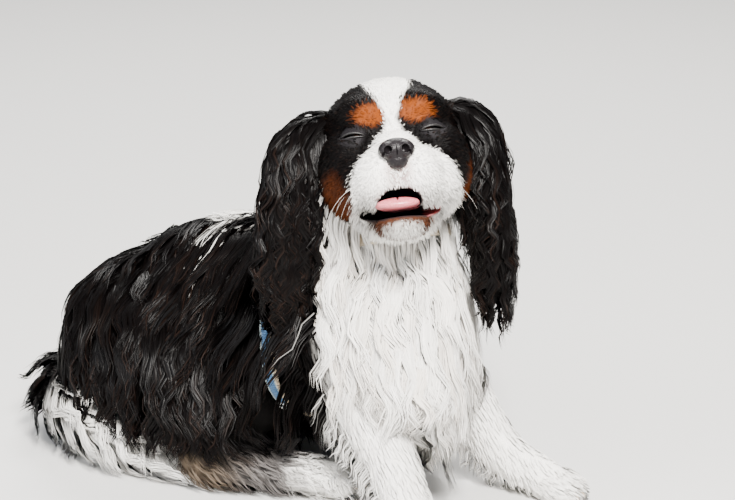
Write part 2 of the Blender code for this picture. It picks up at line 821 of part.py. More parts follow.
def grow_locks(name, roots, lie, length, width, rise, lift, wave):
    """A lock at each root, in a collection of their own."""
    tuft = bpy.data.collections.new("locks of " + name)
    helpers.children.link(tuft)
    for root, normal in roots:
        size = chance.uniform(0.85, 1.15)
        broad = width * chance.uniform(0.85, 1.15)
        for shorter, narrower in ((1.0, 1.0), (0.85, 0.9), (0.7, 0.8), (0.55, 0.7), (0.42, 0.6)):
            points = lock_line(
                name, root, normal, lie, length * size * shorter, broad * narrower, rise, lift, wave
            )
            mesh = lock_mesh(name, points, broad * narrower, LOCK_THICK)
            if not crosses(mesh, name):
                tuft.objects.link(bpy.data.objects.new("lock", mesh))
                break
    return tuft


def joined_well(piece, tuft, solver):
    """Joins the locks to the piece in one union, and tells whether it is one closed body."""
    union = piece.modifiers.new("join locks", "BOOLEAN")
    union.operation = "UNION"
    union.operand_type = "COLLECTION"
    union.collection = tuft
    union.solver = solver
    settle(piece)
    tidied(piece)
    largest(piece)
    return closed(piece)


def coat(name, line, zero, tiers, arc, count, lie, length, width, rise=0.5, lift=0.004, wave=0.25):
    """Gives a node its locks. Where some meet in a way that can't be joined cleanly, they are drawn again."""
    piece = flesh[name][0]
    bare = piece.data
    for draw in range(6):
        for solver in ("EXACT", "MANIFOLD"):
            chance.seed(name + str(draw))
            piece.data = bare
            tuft = grow_locks(name, roots_of(name, line, zero, tiers, arc, count), lie, length, width, rise, lift, wave)
            well = joined_well(piece, tuft, solver)
            for lock in list(tuft.objects):
                bpy.data.objects.remove(lock)
            if well:
                trees[name] = tree_of(piece)
                return
    piece.data = bare


NECK_LINE = [Vector(point) for point in NECK_POINTS]
CHEST_LINE = [Vector((0.075, -0.040, 0.215)), Vector((0.095, -0.045, 0.150)), Vector((0.120, -0.052, 0.095))]
BARREL_LINE = [Vector((0.006, -0.006, 0.135)), Vector((-0.100, 0.0, 0.115))]
RUMP_LINE = [Vector((-0.100, 0.0, 0.110)), Vector((-0.205, 0.0, 0.070))]
TAIL_LINE = [Vector(point) for point in TAIL_POINTS]
UPWARD = Vector((0, 0, 1))


def down_neck(place):
    return -0.7 * NECK_AXIS - 0.6 * UPWARD


def down_breast(place):
    return Vector((0.16, -0.07, -1.0))


def down_back(place):
    return Vector((-0.55, 0.9 * place.y / 0.09, -0.75))


def off_rump(place):
    return Vector((-0.65, 0.6 * place.y / 0.09, -0.85))


def down_thigh(place):
    return Vector((-0.30, 0.25 * math.copysign(1, place.y), -1.0))


def down_ear(place):
    return Vector((0.0, 0.0, -1.0))


def off_foreleg(place):
    return Vector((-0.75, 0.0, -0.65))


def along_tail(place):
    nearest = min(range(len(TAIL_LINE) - 1), key=lambda k: (TAIL_LINE[k].lerp(TAIL_LINE[k + 1], 0.5) - place).length)
    axis = (TAIL_LINE[nearest + 1] - TAIL_LINE[nearest]).normalized()
    return axis + (place - TAIL_LINE[nearest]).normalized() * 0.55 - UPWARD * 0.25


coat("neck", NECK_LINE, (1, -0.4, 0), (0.42, 0.62), (-115, 115), 7, down_neck, 0.055, 0.020)
coat("chest", CHEST_LINE, (1, -0.45, 0), (0.05, 0.30, 0.55, 0.78), (-80, 80), 7, down_breast, 0.075, 0.021)
coat("barrel", BARREL_LINE, UPWARD, (0.12, 0.40, 0.68, 0.93), (-95, 95), 6, down_back, 0.070, 0.023)
coat("rump", RUMP_LINE, UPWARD, (0.25, 0.60, 0.92), (-85, 85), 5, off_rump, 0.065, 0.023)
for side, name in ((-1, "hind_leg_right"), (1, "hind_leg_left")):
    thigh = [mirrored(HIP, side), mirrored(KNEE, side)]
    coat(name, thigh, (0, side, 0.35), (0.0, 0.30, 0.62, 0.92), (-50, 50), 4, down_thigh, 0.070, 0.022)
TAIL_TIERS = (0.10, 0.30, 0.50, 0.70, 0.90)
coat("tail", TAIL_LINE, (-0.3, -1, 0.3), TAIL_TIERS, (-100, 60), 3, along_tail, 0.055, 0.017)
for side, name in ((-1, "foreleg_right"), (1, "foreleg_left")):
    limb = [Vector(point) for point in FORELEG[side][1:]]
    coat(name, limb, (-1, 0, -0.4), (0.10, 0.40, 0.70), (-35, 35), 2, off_foreleg, 0.045, 0.013)
EAR_TIERS = (0.10, 0.32, 0.54, 0.74, 0.90)
for side, name in ((-1, "ear_right"), (1, "ear_left")):
    hang = [place for place, width, depth in EAR_LINE[side][1:]]
    outward = (hang[2].x - HEAD_AT.x, hang[2].y - HEAD_AT.y, 0)
    coat(name, hang, outward, EAR_TIERS, (-95, 95), 3, down_ear, 0.085, 0.022, rise=0.35, wave=0.35)

for name, (piece, finish) in flesh.items():
    node(piece, name, finish)

# The origin goes to the middle of the dog's footprint
places = [v.co for obj in dog.objects for v in obj.data.vertices]
centre = [(min(p[axis] for p in places) + max(p[axis] for p in places)) / 2 for axis in (0, 1)]
for obj in dog.objects:
    obj.data.transform(Matrix.Translation((-centre[0], -centre[1], 0)))
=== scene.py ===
import math

import bpy
import numpy as np
from mathutils import Euler, Matrix, Vector
from mathutils.bvhtree import BVHTree


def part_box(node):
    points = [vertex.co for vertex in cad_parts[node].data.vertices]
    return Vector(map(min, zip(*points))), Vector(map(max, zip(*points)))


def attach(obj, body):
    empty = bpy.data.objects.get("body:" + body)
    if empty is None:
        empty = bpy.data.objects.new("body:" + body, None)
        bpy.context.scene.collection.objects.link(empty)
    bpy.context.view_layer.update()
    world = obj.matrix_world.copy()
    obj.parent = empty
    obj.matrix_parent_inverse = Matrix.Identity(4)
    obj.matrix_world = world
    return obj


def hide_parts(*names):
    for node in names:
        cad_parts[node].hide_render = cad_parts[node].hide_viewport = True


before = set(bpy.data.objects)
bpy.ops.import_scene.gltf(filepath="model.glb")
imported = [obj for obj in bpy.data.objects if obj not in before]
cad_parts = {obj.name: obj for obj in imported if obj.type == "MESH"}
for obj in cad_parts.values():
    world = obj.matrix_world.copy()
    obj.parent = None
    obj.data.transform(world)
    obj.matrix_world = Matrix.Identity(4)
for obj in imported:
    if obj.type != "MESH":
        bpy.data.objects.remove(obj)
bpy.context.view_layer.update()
bpy.ops.object.select_all(action="DESELECT")

# The dog's skin. A real spaniel's body under its coat: the trunk sits back on its rump, the head is
# turned and lifted to the dog's right. It is built from soft masses melted into one closed skin, a
# little inside the model's solids, and everything else is fixed to it.

# The dog's own origin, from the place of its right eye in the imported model
low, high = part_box("eye_right")
origin = (low + high) / 2 - Vector((0.09795, -0.08780, 0.31405))
origin.z = 0.0

HEAD_AT = Vector((0.102, -0.046, 0.299))
head_frame = (
    Matrix.Translation(HEAD_AT)
    @ Matrix.Rotation(math.radians(-56), 4, "Z")
    @ Matrix.Rotation(math.radians(-31), 4, "Y")
    @ Matrix.Rotation(math.radians(6), 4, "X")
)
masses = []


def mass(part, place, radii, turn=(0, 0, 0), on=Matrix.Identity(4)):
    """One soft egg of flesh: its part of the body, its place, its three radii and its turn in degrees."""
    turned = Euler([math.radians(angle) for angle in turn]).to_matrix().to_4x4()
    masses.append((part, on @ Matrix.Translation(place) @ turned @ Matrix.Diagonal((*radii, 1))))


def pair(part, place, radii, turn=(0, 0, 0)):
    """Two masses of the head, one on each side."""
    for side in (-1, 1):
        mass(part, (place[0], side * place[1], place[2]), radii, (side * turn[0], turn[1], side * turn[2]), head_frame)


def curve_through(points, count):
    """That many points on a smooth line through the given ones."""
    points = np.array(points, float)
    ends = np.vstack([2 * points[0] - points[1], points, 2 * points[-1] - points[-2]])
    line = []
    for place in np.linspace(0, len(points) - 1, count):
        index = min(int(place), len(points) - 2)
        t = place - index
        a, b, c, d = ends[index:index + 4]
        line.append(0.5 * (2 * b + (c - a) * t + (2 * a - 5 * b + 4 * c - d) * t**2 + (3 * b - a - 3 * c + d) * t**3))
    return np.array(line)


def limb(part, points, radii, count=16):
    """A run of round masses along a smooth line, as thick as each point's radius."""
    thick = np.interp(np.linspace(0, len(points) - 1, count), range(len(points)), radii)
    for place, radius in zip(curve_through(points, count), thick):
        mass(part, place, (radius, radius, radius))


mass("trunk", (-0.165, 0.000, 0.078), (0.080, 0.080, 0.083))
mass("trunk", (-0.105, 0.000, 0.112), (0.085, 0.076, 0.083), (0, -14, 0))
mass("trunk", (-0.045, -0.003, 0.130), (0.085, 0.076, 0.080), (0, -8, 0))
mass("trunk", (0.010, -0.010, 0.142), (0.075, 0.073, 0.082))
mass("trunk", (0.045, -0.022, 0.145), (0.062, 0.072, 0.080))
mass("trunk", (0.078, -0.034, 0.150), (0.058, 0.058, 0.068), (0, 0, -25))
mass("trunk", (0.012, -0.010, 0.198), (0.050, 0.040, 0.035))
mass("trunk", (0.084, -0.024, 0.222), (0.047, 0.046, 0.050))
mass("trunk", (0.103, -0.024, 0.168), (0.042, 0.044, 0.050))
NECK = [(0.020, -0.012, 0.180), (0.050, -0.028, 0.230), (0.080, -0.040, 0.285)]
limb("trunk", NECK, (0.062, 0.052, 0.046))
limb("trunk", [(0.105, -0.052, 0.165), (0.128, -0.060, 0.125), (0.138, -0.061, 0.100)], (0.040, 0.030, 0.016))

HIP, KNEE, HOCK = Vector((-0.150, 0.048, 0.095)), Vector((-0.012, 0.080, 0.078)), Vector((-0.045, 0.108, 0.024))
HIND_TOES = {-1: Vector((0.058, -0.064, 0.015)), 1: Vector((0.060, 0.105, 0.015))}
FORELEG = {
    -1: [(0.055, -0.068, 0.140), (0.078, -0.072, 0.112), (0.1225, -0.085, 0.060), (0.145, -0.092, 0.026)],
    1: [(0.072, 0.020, 0.140), (0.098, 0.024, 0.105), (0.135, 0.029, 0.060), (0.162, 0.031, 0.030)],
}
FORE_PAW = {-1: Vector((0.165, -0.096, 0.013)), 1: Vector((0.2065, 0.034, 0.013))}
EAR = {
    # place, half width and half depth down each ear
    -1: [
        (head_frame @ Vector((-0.006, -0.038, 0.024)), 0.014, 0.012),
        (head_frame @ Vector((-0.006, -0.060, 0.022)), 0.018, 0.011),
        (Vector((0.040, -0.088, 0.292)), 0.019, 0.010),
        (Vector((0.039, -0.100, 0.239)), 0.022, 0.010),
        (Vector((0.040, -0.105, 0.200)), 0.018, 0.009),
        (Vector((0.041, -0.106, 0.185)), 0.010, 0.006),
    ],
    1: [
        (head_frame @ Vector((-0.006, 0.038, 0.024)), 0.012, 0.014),
        (head_frame @ Vector((-0.006, 0.060, 0.022)), 0.011, 0.018),
        (Vector((0.156, 0.003, 0.296)), 0.010, 0.019),
        (Vector((0.166, 0.004, 0.239)), 0.010, 0.022),
        (Vector((0.170, 0.005, 0.200)), 0.009, 0.018),
        (Vector((0.170, 0.004, 0.185)), 0.005, 0.009),
    ],
}
TAIL = [
    (-0.228, 0.000, 0.050), (-0.236, -0.044, 0.046), (-0.208, -0.083, 0.043),
    (-0.165, -0.104, 0.037), (-0.120, -0.109, 0.028), (-0.075, -0.104, 0.014),
]
sides = {-1: "right", 1: "left"}
paw_frames = []
for side, name in sides.items():
    mirror = Matrix.Diagonal((1, side, 1, 1))
    hip, knee, hock, toes = mirror @ HIP, mirror @ KNEE, mirror @ HOCK, HIND_TOES[side]
    middle = hip.lerp(knee, 0.5) + Vector((0, side * 0.006, 0.004))
    limb("thigh_" + name, [hip, middle, knee], (0.066, 0.058, 0.032))
    mass("thigh_" + name, hip.lerp(knee, 0.35) + Vector((0, side * 0.006, -0.028)), (0.081, 0.036, 0.048))
    limb("foot_" + name, [knee, knee.lerp(hock, 0.5), hock], (0.031, 0.024, 0.018), 12)
    limb("foot_" + name, [hock, hock.lerp(toes, 0.5), toes], (0.018, 0.0145, 0.0165), 14)
    limb("foreleg_" + name, [*FORELEG[side], FORE_PAW[side]], (0.034, 0.030, 0.021, 0.0185, 0.015), 26)
    heading = math.atan2(toes.y - hock.y, toes.x - hock.x)
    fore_heading = math.radians(-18 if side < 0 else -4)
    for kind, centre, turn in (("foot_", toes, heading), ("paw_", FORE_PAW[side], fore_heading)):
        foot = Matrix.Translation(centre) @ Matrix.Rotation(turn, 4, "Z")
        paw_frames.append(foot)
        mass(kind + name, (-0.004, 0, 0.000), (0.020, 0.0170, 0.0140), (0, 0, 0), foot)
        for spread in (-1.5, -0.5, 0.5, 1.5):
            reach = 0.013 - 0.0022 * spread * spread
            mass(kind + name, (reach, spread * 0.0086, -0.0015), (0.012, 0.0058, 0.0100), (0, 12, spread * 6), foot)
    line = curve_through([place for place, wide, deep in EAR[side]], 18)
    wide = np.interp(np.linspace(0, 5, 18), range(6), [station[1] for station in EAR[side]])
    deep = np.interp(np.linspace(0, 5, 18), range(6), [station[2] for station in EAR[side]])
    for place, width, depth in zip(line, wide, deep):
        mass("ear_" + name, place, (width, depth, 0.012), (0, 0, 34))
limb("tail", TAIL, (0.012, 0.016, 0.018, 0.018, 0.014, 0.007), 30)

mass("head", (-0.006, 0.0, 0.010), (0.055, 0.052, 0.045), on=head_frame)
mass("head", (0.048, 0.0, -0.020), (0.034, 0.020, 0.018), (0, 8, 0), head_frame)
mass("head", (0.008, 0.0, -0.030), (0.045, 0.048, 0.036), on=head_frame)
pair("head", (0.024, 0.021, 0.020), (0.024, 0.021, 0.017))
pair("head", (0.014, 0.034, -0.020), (0.038, 0.023, 0.033))
pair("head", (0.055, 0.0165, -0.0395), (0.0245, 0.0185, 0.0225), (0, -6, -8))
pair("head", (0.036, 0.027, -0.036), (0.027, 0.021, 0.024))
pair("head", (0.0355, 0.0270, -0.001), (0.0132, 0.0132, 0.0132))
mass("head", (0.040, 0.0, -0.0715), (0.029, 0.0205, 0.0095), (0, 14, 0), head_frame)
mass("head", (0.010, 0.0, -0.0565), (0.036, 0.032, 0.0165), (0, 10, 0), head_frame)

bpy.ops.mesh.primitive_ico_sphere_add(subdivisions=4, radius=1)
egg = bpy.context.object
egg_points = np.array([vertex.co for vertex in egg.data.vertices])
egg_faces = np.array([face.vertices for face in egg.data.polygons])
bpy.data.objects.remove(egg)


def mesh_object(name, points, faces):
    """A mesh object from arrays of points and of faces that all have the same number of corners."""
    points, faces = np.asarray(points, np.float32), np.asarray(faces, np.int32)
    mesh = bpy.data.meshes.new(name)
    mesh.vertices.add(len(points))
    mesh.vertices.foreach_set("co", points.ravel())
    mesh.loops.add(faces.size)
    mesh.loops.foreach_set("vertex_index", faces.ravel())
    mesh.polygons.add(len(faces))
    mesh.polygons.foreach_set("loop_start", np.arange(len(faces), dtype=np.int32) * faces.shape[1])
    mesh.update(calc_edges=True)
    made = bpy.data.objects.new(name, mesh)
    bpy.context.scene.collection.objects.link(made)
    return made


def eggs(name, chosen):
    """An object of separate eggs, one for each matrix."""
    matrices = [np.array(matrix) for matrix in chosen]
    points = np.vstack([egg_points @ matrix[:3, :3].T + matrix[:3, 3] for matrix in matrices])
    faces = np.vstack([egg_faces + index * len(egg_points) for index in range(len(matrices))])
    return mesh_object(name, points, faces)


def select(piece):
    bpy.ops.object.select_all(action="DESELECT")
    piece.select_set(True)
    bpy.context.view_layer.objects.active = piece


def finish_modifiers(piece):
    """Applies every modifier of the piece, in order."""
    select(piece)
    for modifier in list(piece.modifiers):
        bpy.ops.object.modifier_apply(modifier=modifier.name)
    piece.data.materials.clear()


def melted(name, chosen, voxel, rounds):
    """The eggs melted into one soft closed form."""
    piece = eggs(name, chosen)
    melt = piece.modifiers.new("melt", "REMESH")
    melt.mode = "VOXEL"
    melt.voxel_size = voxel
    soften = piece.modifiers.new("soften", "SMOOTH")
    soften.factor = 0.5
    soften.iterations = rounds
    finish_modifiers(piece)
    return piece


def carve(piece, cutter):
    """Cuts the cutter's form out of the piece, and removes the cutter."""
    cut = piece.modifiers.new("carve", "BOOLEAN")
    cut.operation = "DIFFERENCE"
    cut.object = cutter
    cut.solver = "MANIFOLD"
    finish_modifiers(piece)
    bpy.data.objects.remove(cutter)


def egg_frame(place, radii, turn=(0, 0, 0), on=head_frame):
    turned = Euler([math.radians(angle) for angle in turn]).to_matrix().to_4x4()
    return on @ Matrix.Translation(place) @ turned @ Matrix.Diagonal((*radii, 1))


skin = melted("skin", [matrix for part, matrix in masses], 0.0026, 3)
carve(skin, eggs("mouth", [egg_frame((0.056, -0.001, -0.0590), (0.036, 0.0165, 0.0105), (0, 12, 0))]))
carve(skin, eggs("mouth corners", [egg_frame((0.036, 0, -0.0630), (0.034, 0.040, 0.0042), (0, 16, 0))]))
eye_frames = {}
for side in sides:
    look = Vector((0.86, side * 0.50, 0.10)).normalized()
    left = Vector((0, 0, 1)).cross(look).normalized()
    turn = Matrix((look, left, look.cross(left))).transposed().to_4x4()
    eye_frames[side] = head_frame @ Matrix.Translation((0.0355, side * 0.0270, -0.001)) @ turn
    carve(skin, eggs("eye slit", [egg_frame((0.009, 0, -0.0005), (0.012, 0.0100, 0.0015), on=eye_frames[side])]))

# The floor flattens what rests on it
rest = skin.data
for vertex in rest.vertices:
    vertex.co.z = max(vertex.co.z, 0.0006)
rest.shade_smooth()
select(skin)
bpy.ops.object.mode_set(mode="EDIT")
bpy.ops.mesh.select_all(action="SELECT")
bpy.ops.mesh.quads_convert_to_tris(quad_method="BEAUTY", ngon_method="BEAUTY")
bpy.ops.uv.smart_project(angle_limit=math.radians(66), island_margin=0.002)
bpy.ops.object.mode_set(mode="OBJECT")
skin.data.uv_layers[0].name = "OFBake"

# What the coat needs to know of the skin: its faces, their sizes and facings, their unwrapped places
# and the part of the body that each belongs to
count = len(skin.data.polygons)
skin_points = np.empty(len(skin.data.vertices) * 3)
skin.data.vertices.foreach_get("co", skin_points)
skin_points = skin_points.reshape(-1, 3)
skin_faces = np.empty(count * 3, np.int32)
skin.data.polygons.foreach_get("vertices", skin_faces)
skin_faces = skin_faces.reshape(-1, 3)
skin_uv = np.empty(count * 6)
skin.data.uv_layers["OFBake"].data.foreach_get("uv", skin_uv)
skin_uv = skin_uv.reshape(-1, 3, 2)
corners = skin_points[skin_faces]
crossed = np.cross(corners[:, 1] - corners[:, 0], corners[:, 2] - corners[:, 0])
face_area = np.linalg.norm(crossed, axis=1) / 2
face_normal = crossed / np.maximum(2 * face_area, 1e-12)[:, None]
face_centre = corners.mean(axis=1)
skin_tree = BVHTree.FromPolygons(skin_points.tolist(), skin_faces.tolist())

parts = sorted({part for part, matrix in masses})
nearest = np.full(count, 1e9)
face_part = np.zeros(count, int)
for part, matrix in masses:
    inside_out = np.array(matrix.inverted())
    local = face_centre @ inside_out[:3, :3].T + inside_out[:3, 3]
    size = min(matrix.to_scale())
    away = (np.linalg.norm(local, axis=1) - 1) * size
    closer = away < nearest
    nearest[closer] = away[closer]
    face_part[closer] = parts.index(part)

# The tricolour markings, the same on skin and coat: a white blaze and muzzle, tan over the eyes and on
# the cheeks, black ears, back and thighs, a white collar, breast and legs, and a white plume to the tail.

BLACK = np.array((0.0015, 0.0011, 0.0011))
WHITE = np.array((0.90, 0.875, 0.83))
TAN = np.array((0.140, 0.031, 0.0040))
BEIGE = np.array((0.66, 0.52, 0.38))
SILVER = np.array((0.12, 0.11, 0.105))
MUD = np.array((0.105, 0.078, 0.055))
into_head = np.array(head_frame.inverted())


def blend(base, colour, share):
    """The colour laid over the base by that share at each place."""
    share = np.clip(share, 0, 1)[:, None]
    return base * (1 - share) + colour * share


def spot(places, centre, radii, edge=0.25):
    """1 inside an oval spot, 0 outside it, with a soft edge."""
    reach = np.linalg.norm((places - np.array(centre)) / np.array(radii), axis=1)
    return np.clip((1 + edge - reach) / (2 * edge), 0, 1)


def ramp(values, start, end):
    return np.clip((values - start) / (end - start), 0, 1)


def markings(places, part_of):
    """The coat's colour at places on the skin, given the part of the body that each is on."""
    colour = np.tile(BLACK, (len(places), 1))
    x, y, z = places.T
    ahead, left, up = (places @ into_head[:3, :3].T + into_head[:3, 3]).T
    across = np.abs(left)
    on = {part: part_of == parts.index(part) for part in parts}

    head = on["head"]
    half = np.interp(up, [-0.040, -0.030, -0.022, -0.012, -0.002, 0.009, 0.024, 0.043, 0.060],
                     [0.048, 0.042, 0.032, 0.019, 0.0085, 0.0035, 0.0085, 0.018, 0.018])
    half = np.where(ahead < -0.02, half * 0.55, half)
    half = np.where((left < 0) & (up < -0.012), half * 0.76, half)
    white = ramp(half - across, -0.0015, 0.0015)
    seen = np.stack([ahead, left, up], 1)
    cheek = spot(seen, (0.028, -0.044, -0.048), (0.024, 0.017, 0.024)) * 0.38
    cheek = np.maximum(cheek, spot(seen, (0.012, 0.050, -0.036), (0.014, 0.016, 0.026)) * 0.45)
    brow = spot(seen, (0.045, -0.0150, 0.0145), (0.025, 0.0125, 0.0085))
    brow = np.maximum(brow, spot(seen, (0.045, 0.0190, 0.0150), (0.025, 0.0130, 0.0088)))
    chin = ramp(-up, 0.061, 0.064) * ramp(up, -0.0835, -0.0765) * ramp(ahead, 0.010, 0.030)
    throat = ramp(-up, 0.060, 0.070) * ramp(-ahead, -0.030, -0.010)
    face = blend(colour, TAN, cheek)
    face = blend(face, TAN, brow)
    face = blend(face, WHITE, white * ramp(up, -0.070, -0.050))
    face = blend(face, WHITE, ramp(-up, 0.058, 0.062) * ramp(ahead, 0.010, 0.025))
    face = blend(face, (0.055, 0.019, 0.009), chin)
    face = blend(face, WHITE, throat)
    face = blend(face, BLACK, spot(seen, (0.042, -0.027, -0.0650), (0.018, 0.010, 0.0075)))
    colour = np.where(head[:, None], face, colour)

    trunk = on["trunk"]
    forward = x + 0.25 * (z - 0.20) - 0.35 * np.abs(y + 0.02)
    facing_on = 0.559 * (x - 0.062) - 0.829 * (y + 0.034)
    front = ramp(forward, 0.036, 0.044) * np.maximum(ramp(0.215 - z, 0, 0.02), ramp(facing_on, -0.020, -0.008))
    withers = spot(places, (-0.066, -0.014, 0.208), (0.022, 0.009, 0.012))
    body = blend(colour, WHITE, np.maximum(front, withers))
    colour = np.where(trunk[:, None], body, colour)

    for name in sides.values():
        legs = on["foreleg_" + name] | on["paw_" + name]
        white_leg = blend(np.tile(BLACK, (len(places), 1)), WHITE, np.maximum(ramp(forward, 0.018, 0.030), ramp(0.085 - z, 0, 0.01)))
        colour = np.where(legs[:, None], white_leg, colour)
        hind = blend(np.tile(MUD, (len(places), 1)), SILVER, ramp(x, -0.030, -0.005))
        hind = blend(hind, WHITE, ramp(x, 0.020, 0.044))
        hind = blend(hind, BLACK, ramp(z, 0.030, 0.040))
        colour = np.where(on["foot_" + name][:, None], hind, colour)
    run = curve_through(TAIL, 40)
    along = np.argmin(np.linalg.norm(places[:, None, :] - run[None, :, :], axis=2), axis=1) / 39
    plume = blend(colour, WHITE * 0.85, ramp(along, 0.36, 0.46))
    colour = np.where(on["tail"][:, None], plume, colour)
    return colour


def paint(piece, colours, name="coat_colour"):
    """Stores one colour for each point of the piece."""
    layer = piece.data.color_attributes.new(name, "FLOAT_COLOR", "POINT")
    flat = np.ones((len(colours), 4), np.float32)
    flat[:, :3] = colours
    layer.data.foreach_set("color", flat.ravel())


def put(piece):
    """Moves the finished piece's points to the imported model's place, and fixes it to the dog."""
    piece.data.transform(Matrix.Translation(origin))
    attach(piece, "root")


def coat_material(name, roughness, gloss):
    """Hair: its own stored colour, broken up along the fine strands of each lock, with a silky gloss."""
    made = bpy.data.materials.new(name)
    made.use_nodes = True
    nodes, links = made.node_tree.nodes, made.node_tree.links
    shader = nodes["Principled BSDF"]
    shader.inputs["Specular IOR Level"].default_value = gloss
    shader.inputs["Anisotropic"].default_value = 0.7
    across = nodes.new("ShaderNodeTangent")
    across.direction_type = "UV_MAP"
    across.uv_map = "strand"
    links.new(across.outputs["Tangent"], shader.inputs["Tangent"])
    stored = nodes.new("ShaderNodeAttribute")
    stored.attribute_name = "coat_colour"
    place = nodes.new("ShaderNodeUVMap")
    place.uv_map = "strand"
    fine = nodes.new("ShaderNodeTexNoise")
    fine.inputs["Scale"].default_value = 5.0
    fine.inputs["Detail"].default_value = 2
    links.new(place.outputs["UV"], fine.inputs["Vector"])
    tone = nodes.new("ShaderNodeMapRange")
    tone.inputs["From Min"].default_value = 0.3
    tone.inputs["From Max"].default_value = 0.7
    tone.inputs["To Min"].default_value = 0.78
    tone.inputs["To Max"].default_value = 1.14
    links.new(fine.outputs["Fac"], tone.inputs["Value"])
    shade = nodes.new("ShaderNodeVectorMath")
    shade.operation = "SCALE"
    links.new(stored.outputs["Color"], shade.inputs[0])
    links.new(tone.outputs["Result"], shade.inputs["Scale"])
    links.new(shade.outputs["Vector"], shader.inputs["Base Color"])
    rough = nodes.new("ShaderNodeMapRange")
    rough.inputs["To Min"].default_value = roughness - 0.08
    rough.inputs["To Max"].default_value = roughness + 0.10
    links.new(fine.outputs["Fac"], rough.inputs["Value"])
    links.new(rough.outputs["Result"], shader.inputs["Roughness"])
    bump = nodes.new("ShaderNodeBump")
    bump.inputs["Strength"].default_value = 0.5
    bump.inputs["Distance"].default_value = 0.0005
    links.new(fine.outputs["Fac"], bump.inputs["Height"])
    links.new(bump.outputs["Normal"], shader.inputs["Normal"])
    return made


silky = coat_material("silky hair", 0.33, 0.07)
short_hair = coat_material("short hair", 0.48, 0.05)

# The skin under the coat reads the same noise from its own unwrap
strands = skin.data.uv_layers.new(name="strand")
strands.data.foreach_set("uv", (skin_uv.reshape(-1, 2) * 200).astype(np.float32).ravel())

# Each point of the skin takes the part and the markings of a face that it belongs to
point_part = np.zeros(len(skin_points), int)
point_part[skin_faces.ravel()] = np.repeat(face_part, 3)
skin_colour = markings(skin_points, point_part)
skin_local = skin_points @ into_head[:3, :3].T + into_head[:3, 3]
into_mouth = [
    np.array(egg_frame((0.056, -0.001, -0.0590), (0.037, 0.0175, 0.0115), (0, 12, 0)).inverted()),
    np.array(egg_frame((0.036, 0, -0.0630), (0.035, 0.041, 0.0052), (0, 16, 0)).inverted()),
]


def from_mouth(places):
    """How far out of the open mouth the places lie: 1 at its lips, less inside."""
    far = [np.linalg.norm(places @ matrix[:3, :3].T + matrix[:3, 3], axis=1) for matrix in into_mouth]
    return np.minimum(*far)


nose_skin = spot(skin_local, (0.074, 0, -0.040), (0.012, 0.010, 0.012), 0.4)
skin_colour = blend(skin_colour, np.array((0.34, 0.22, 0.21)), nose_skin * 0.8)
lips = from_mouth(skin_points)
skin_colour = blend(skin_colour, np.array((0.018, 0.014, 0.015)), ramp(lips, 1.10, 1.00) * (point_part == parts.index("head")))
gum = (lips < 0.99) & (point_part == parts.index("head")) & (skin_local[:, 1] > 0.019)
skin_colour[gum] = (0.50, 0.17, 0.17)
for side in sides:
    rim = np.linalg.norm(skin_points - np.array(eye_frames[side] @ Vector((0.0115, 0, 0))), axis=1)
    skin_colour = blend(skin_colour, np.array((0.010, 0.009, 0.010)), ramp(rim, 0.0125, 0.0095))
paint(skin, skin_colour)
skin.data.materials.append(short_hair)
flesh_nodes = [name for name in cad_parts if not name.startswith(("eye_", "harness_")) and name not in ("nose", "tongue")]
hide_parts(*flesh_nodes)
put(skin)

# The eyes. A dark brown eye, almost closed against the sun, set behind the lids: a wet clear ball with
# its iris and pupil turned into the mesh as rings.

eye_brown = bpy.data.materials.new("wet eye")
eye_brown.use_nodes = True
nodes, links = eye_brown.node_tree.nodes, eye_brown.node_tree.links
shader = nodes["Principled BSDF"]
shader.inputs["Roughness"].default_value = 0.06
shader.inputs["Coat Weight"].default_value = 0.8
shader.inputs["Coat Roughness"].default_value = 0.03
rings = nodes.new("ShaderNodeAttribute")
rings.attribute_name = "coat_colour"
links.new(rings.outputs["Color"], shader.inputs["Base Color"])
for side, name in sides.items():
    bpy.ops.mesh.primitive_uv_sphere_add(segments=32, ring_count=24, radius=0.0104)
    eye = bpy.context.object
    eye.name = "eyeball_" + name
    points = np.array([vertex.co for vertex in eye.data.vertices])
    eye.data.transform(Matrix.Rotation(math.radians(90), 4, "Y"))
    bulge = Matrix.Translation((0.0006, 0, 0))
    eye.data.transform(eye_frames[side] @ bulge)
    off_axis = np.degrees(np.arccos(np.clip(points[:, 2] / 0.0104, -1, 1)))
    shades = np.where(off_axis[:, None] < 18, (0.003, 0.003, 0.003), (0.040, 0.016, 0.008))
    shades = np.where(off_axis[:, None] > 42, (0.30, 0.24, 0.20), shades)
    paint(eye, shades)
    eye.data.shade_smooth()
    eye.data.materials.append(eye_brown)
    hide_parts("eye_" + name)
    put(eye)

# The lids' edges. The bare dark rims of the upper and lower lid, which meet in the corners of each slit.

bare_skin = bpy.data.materials.new("dark bare skin")
bare_skin.use_nodes = True
nodes, links = bare_skin.node_tree.nodes, bare_skin.node_tree.links
shader = nodes["Principled BSDF"]
shader.inputs["Base Color"].default_value = (0.006, 0.005, 0.005, 1)
shader.inputs["Roughness"].default_value = 0.48
pores = nodes.new("ShaderNodeTexVoronoi")
pores.inputs["Scale"].default_value = 1400
place = nodes.new("ShaderNodeTexCoord")
links.new(place.outputs["Object"], pores.inputs["Vector"])
bump = nodes.new("ShaderNodeBump")
bump.inputs["Strength"].default_value = 0.35
bump.inputs["Distance"].default_value = 0.0003
links.new(pores.outputs["Distance"], bump.inputs["Height"])
links.new(bump.outputs["Normal"], shader.inputs["Normal"])


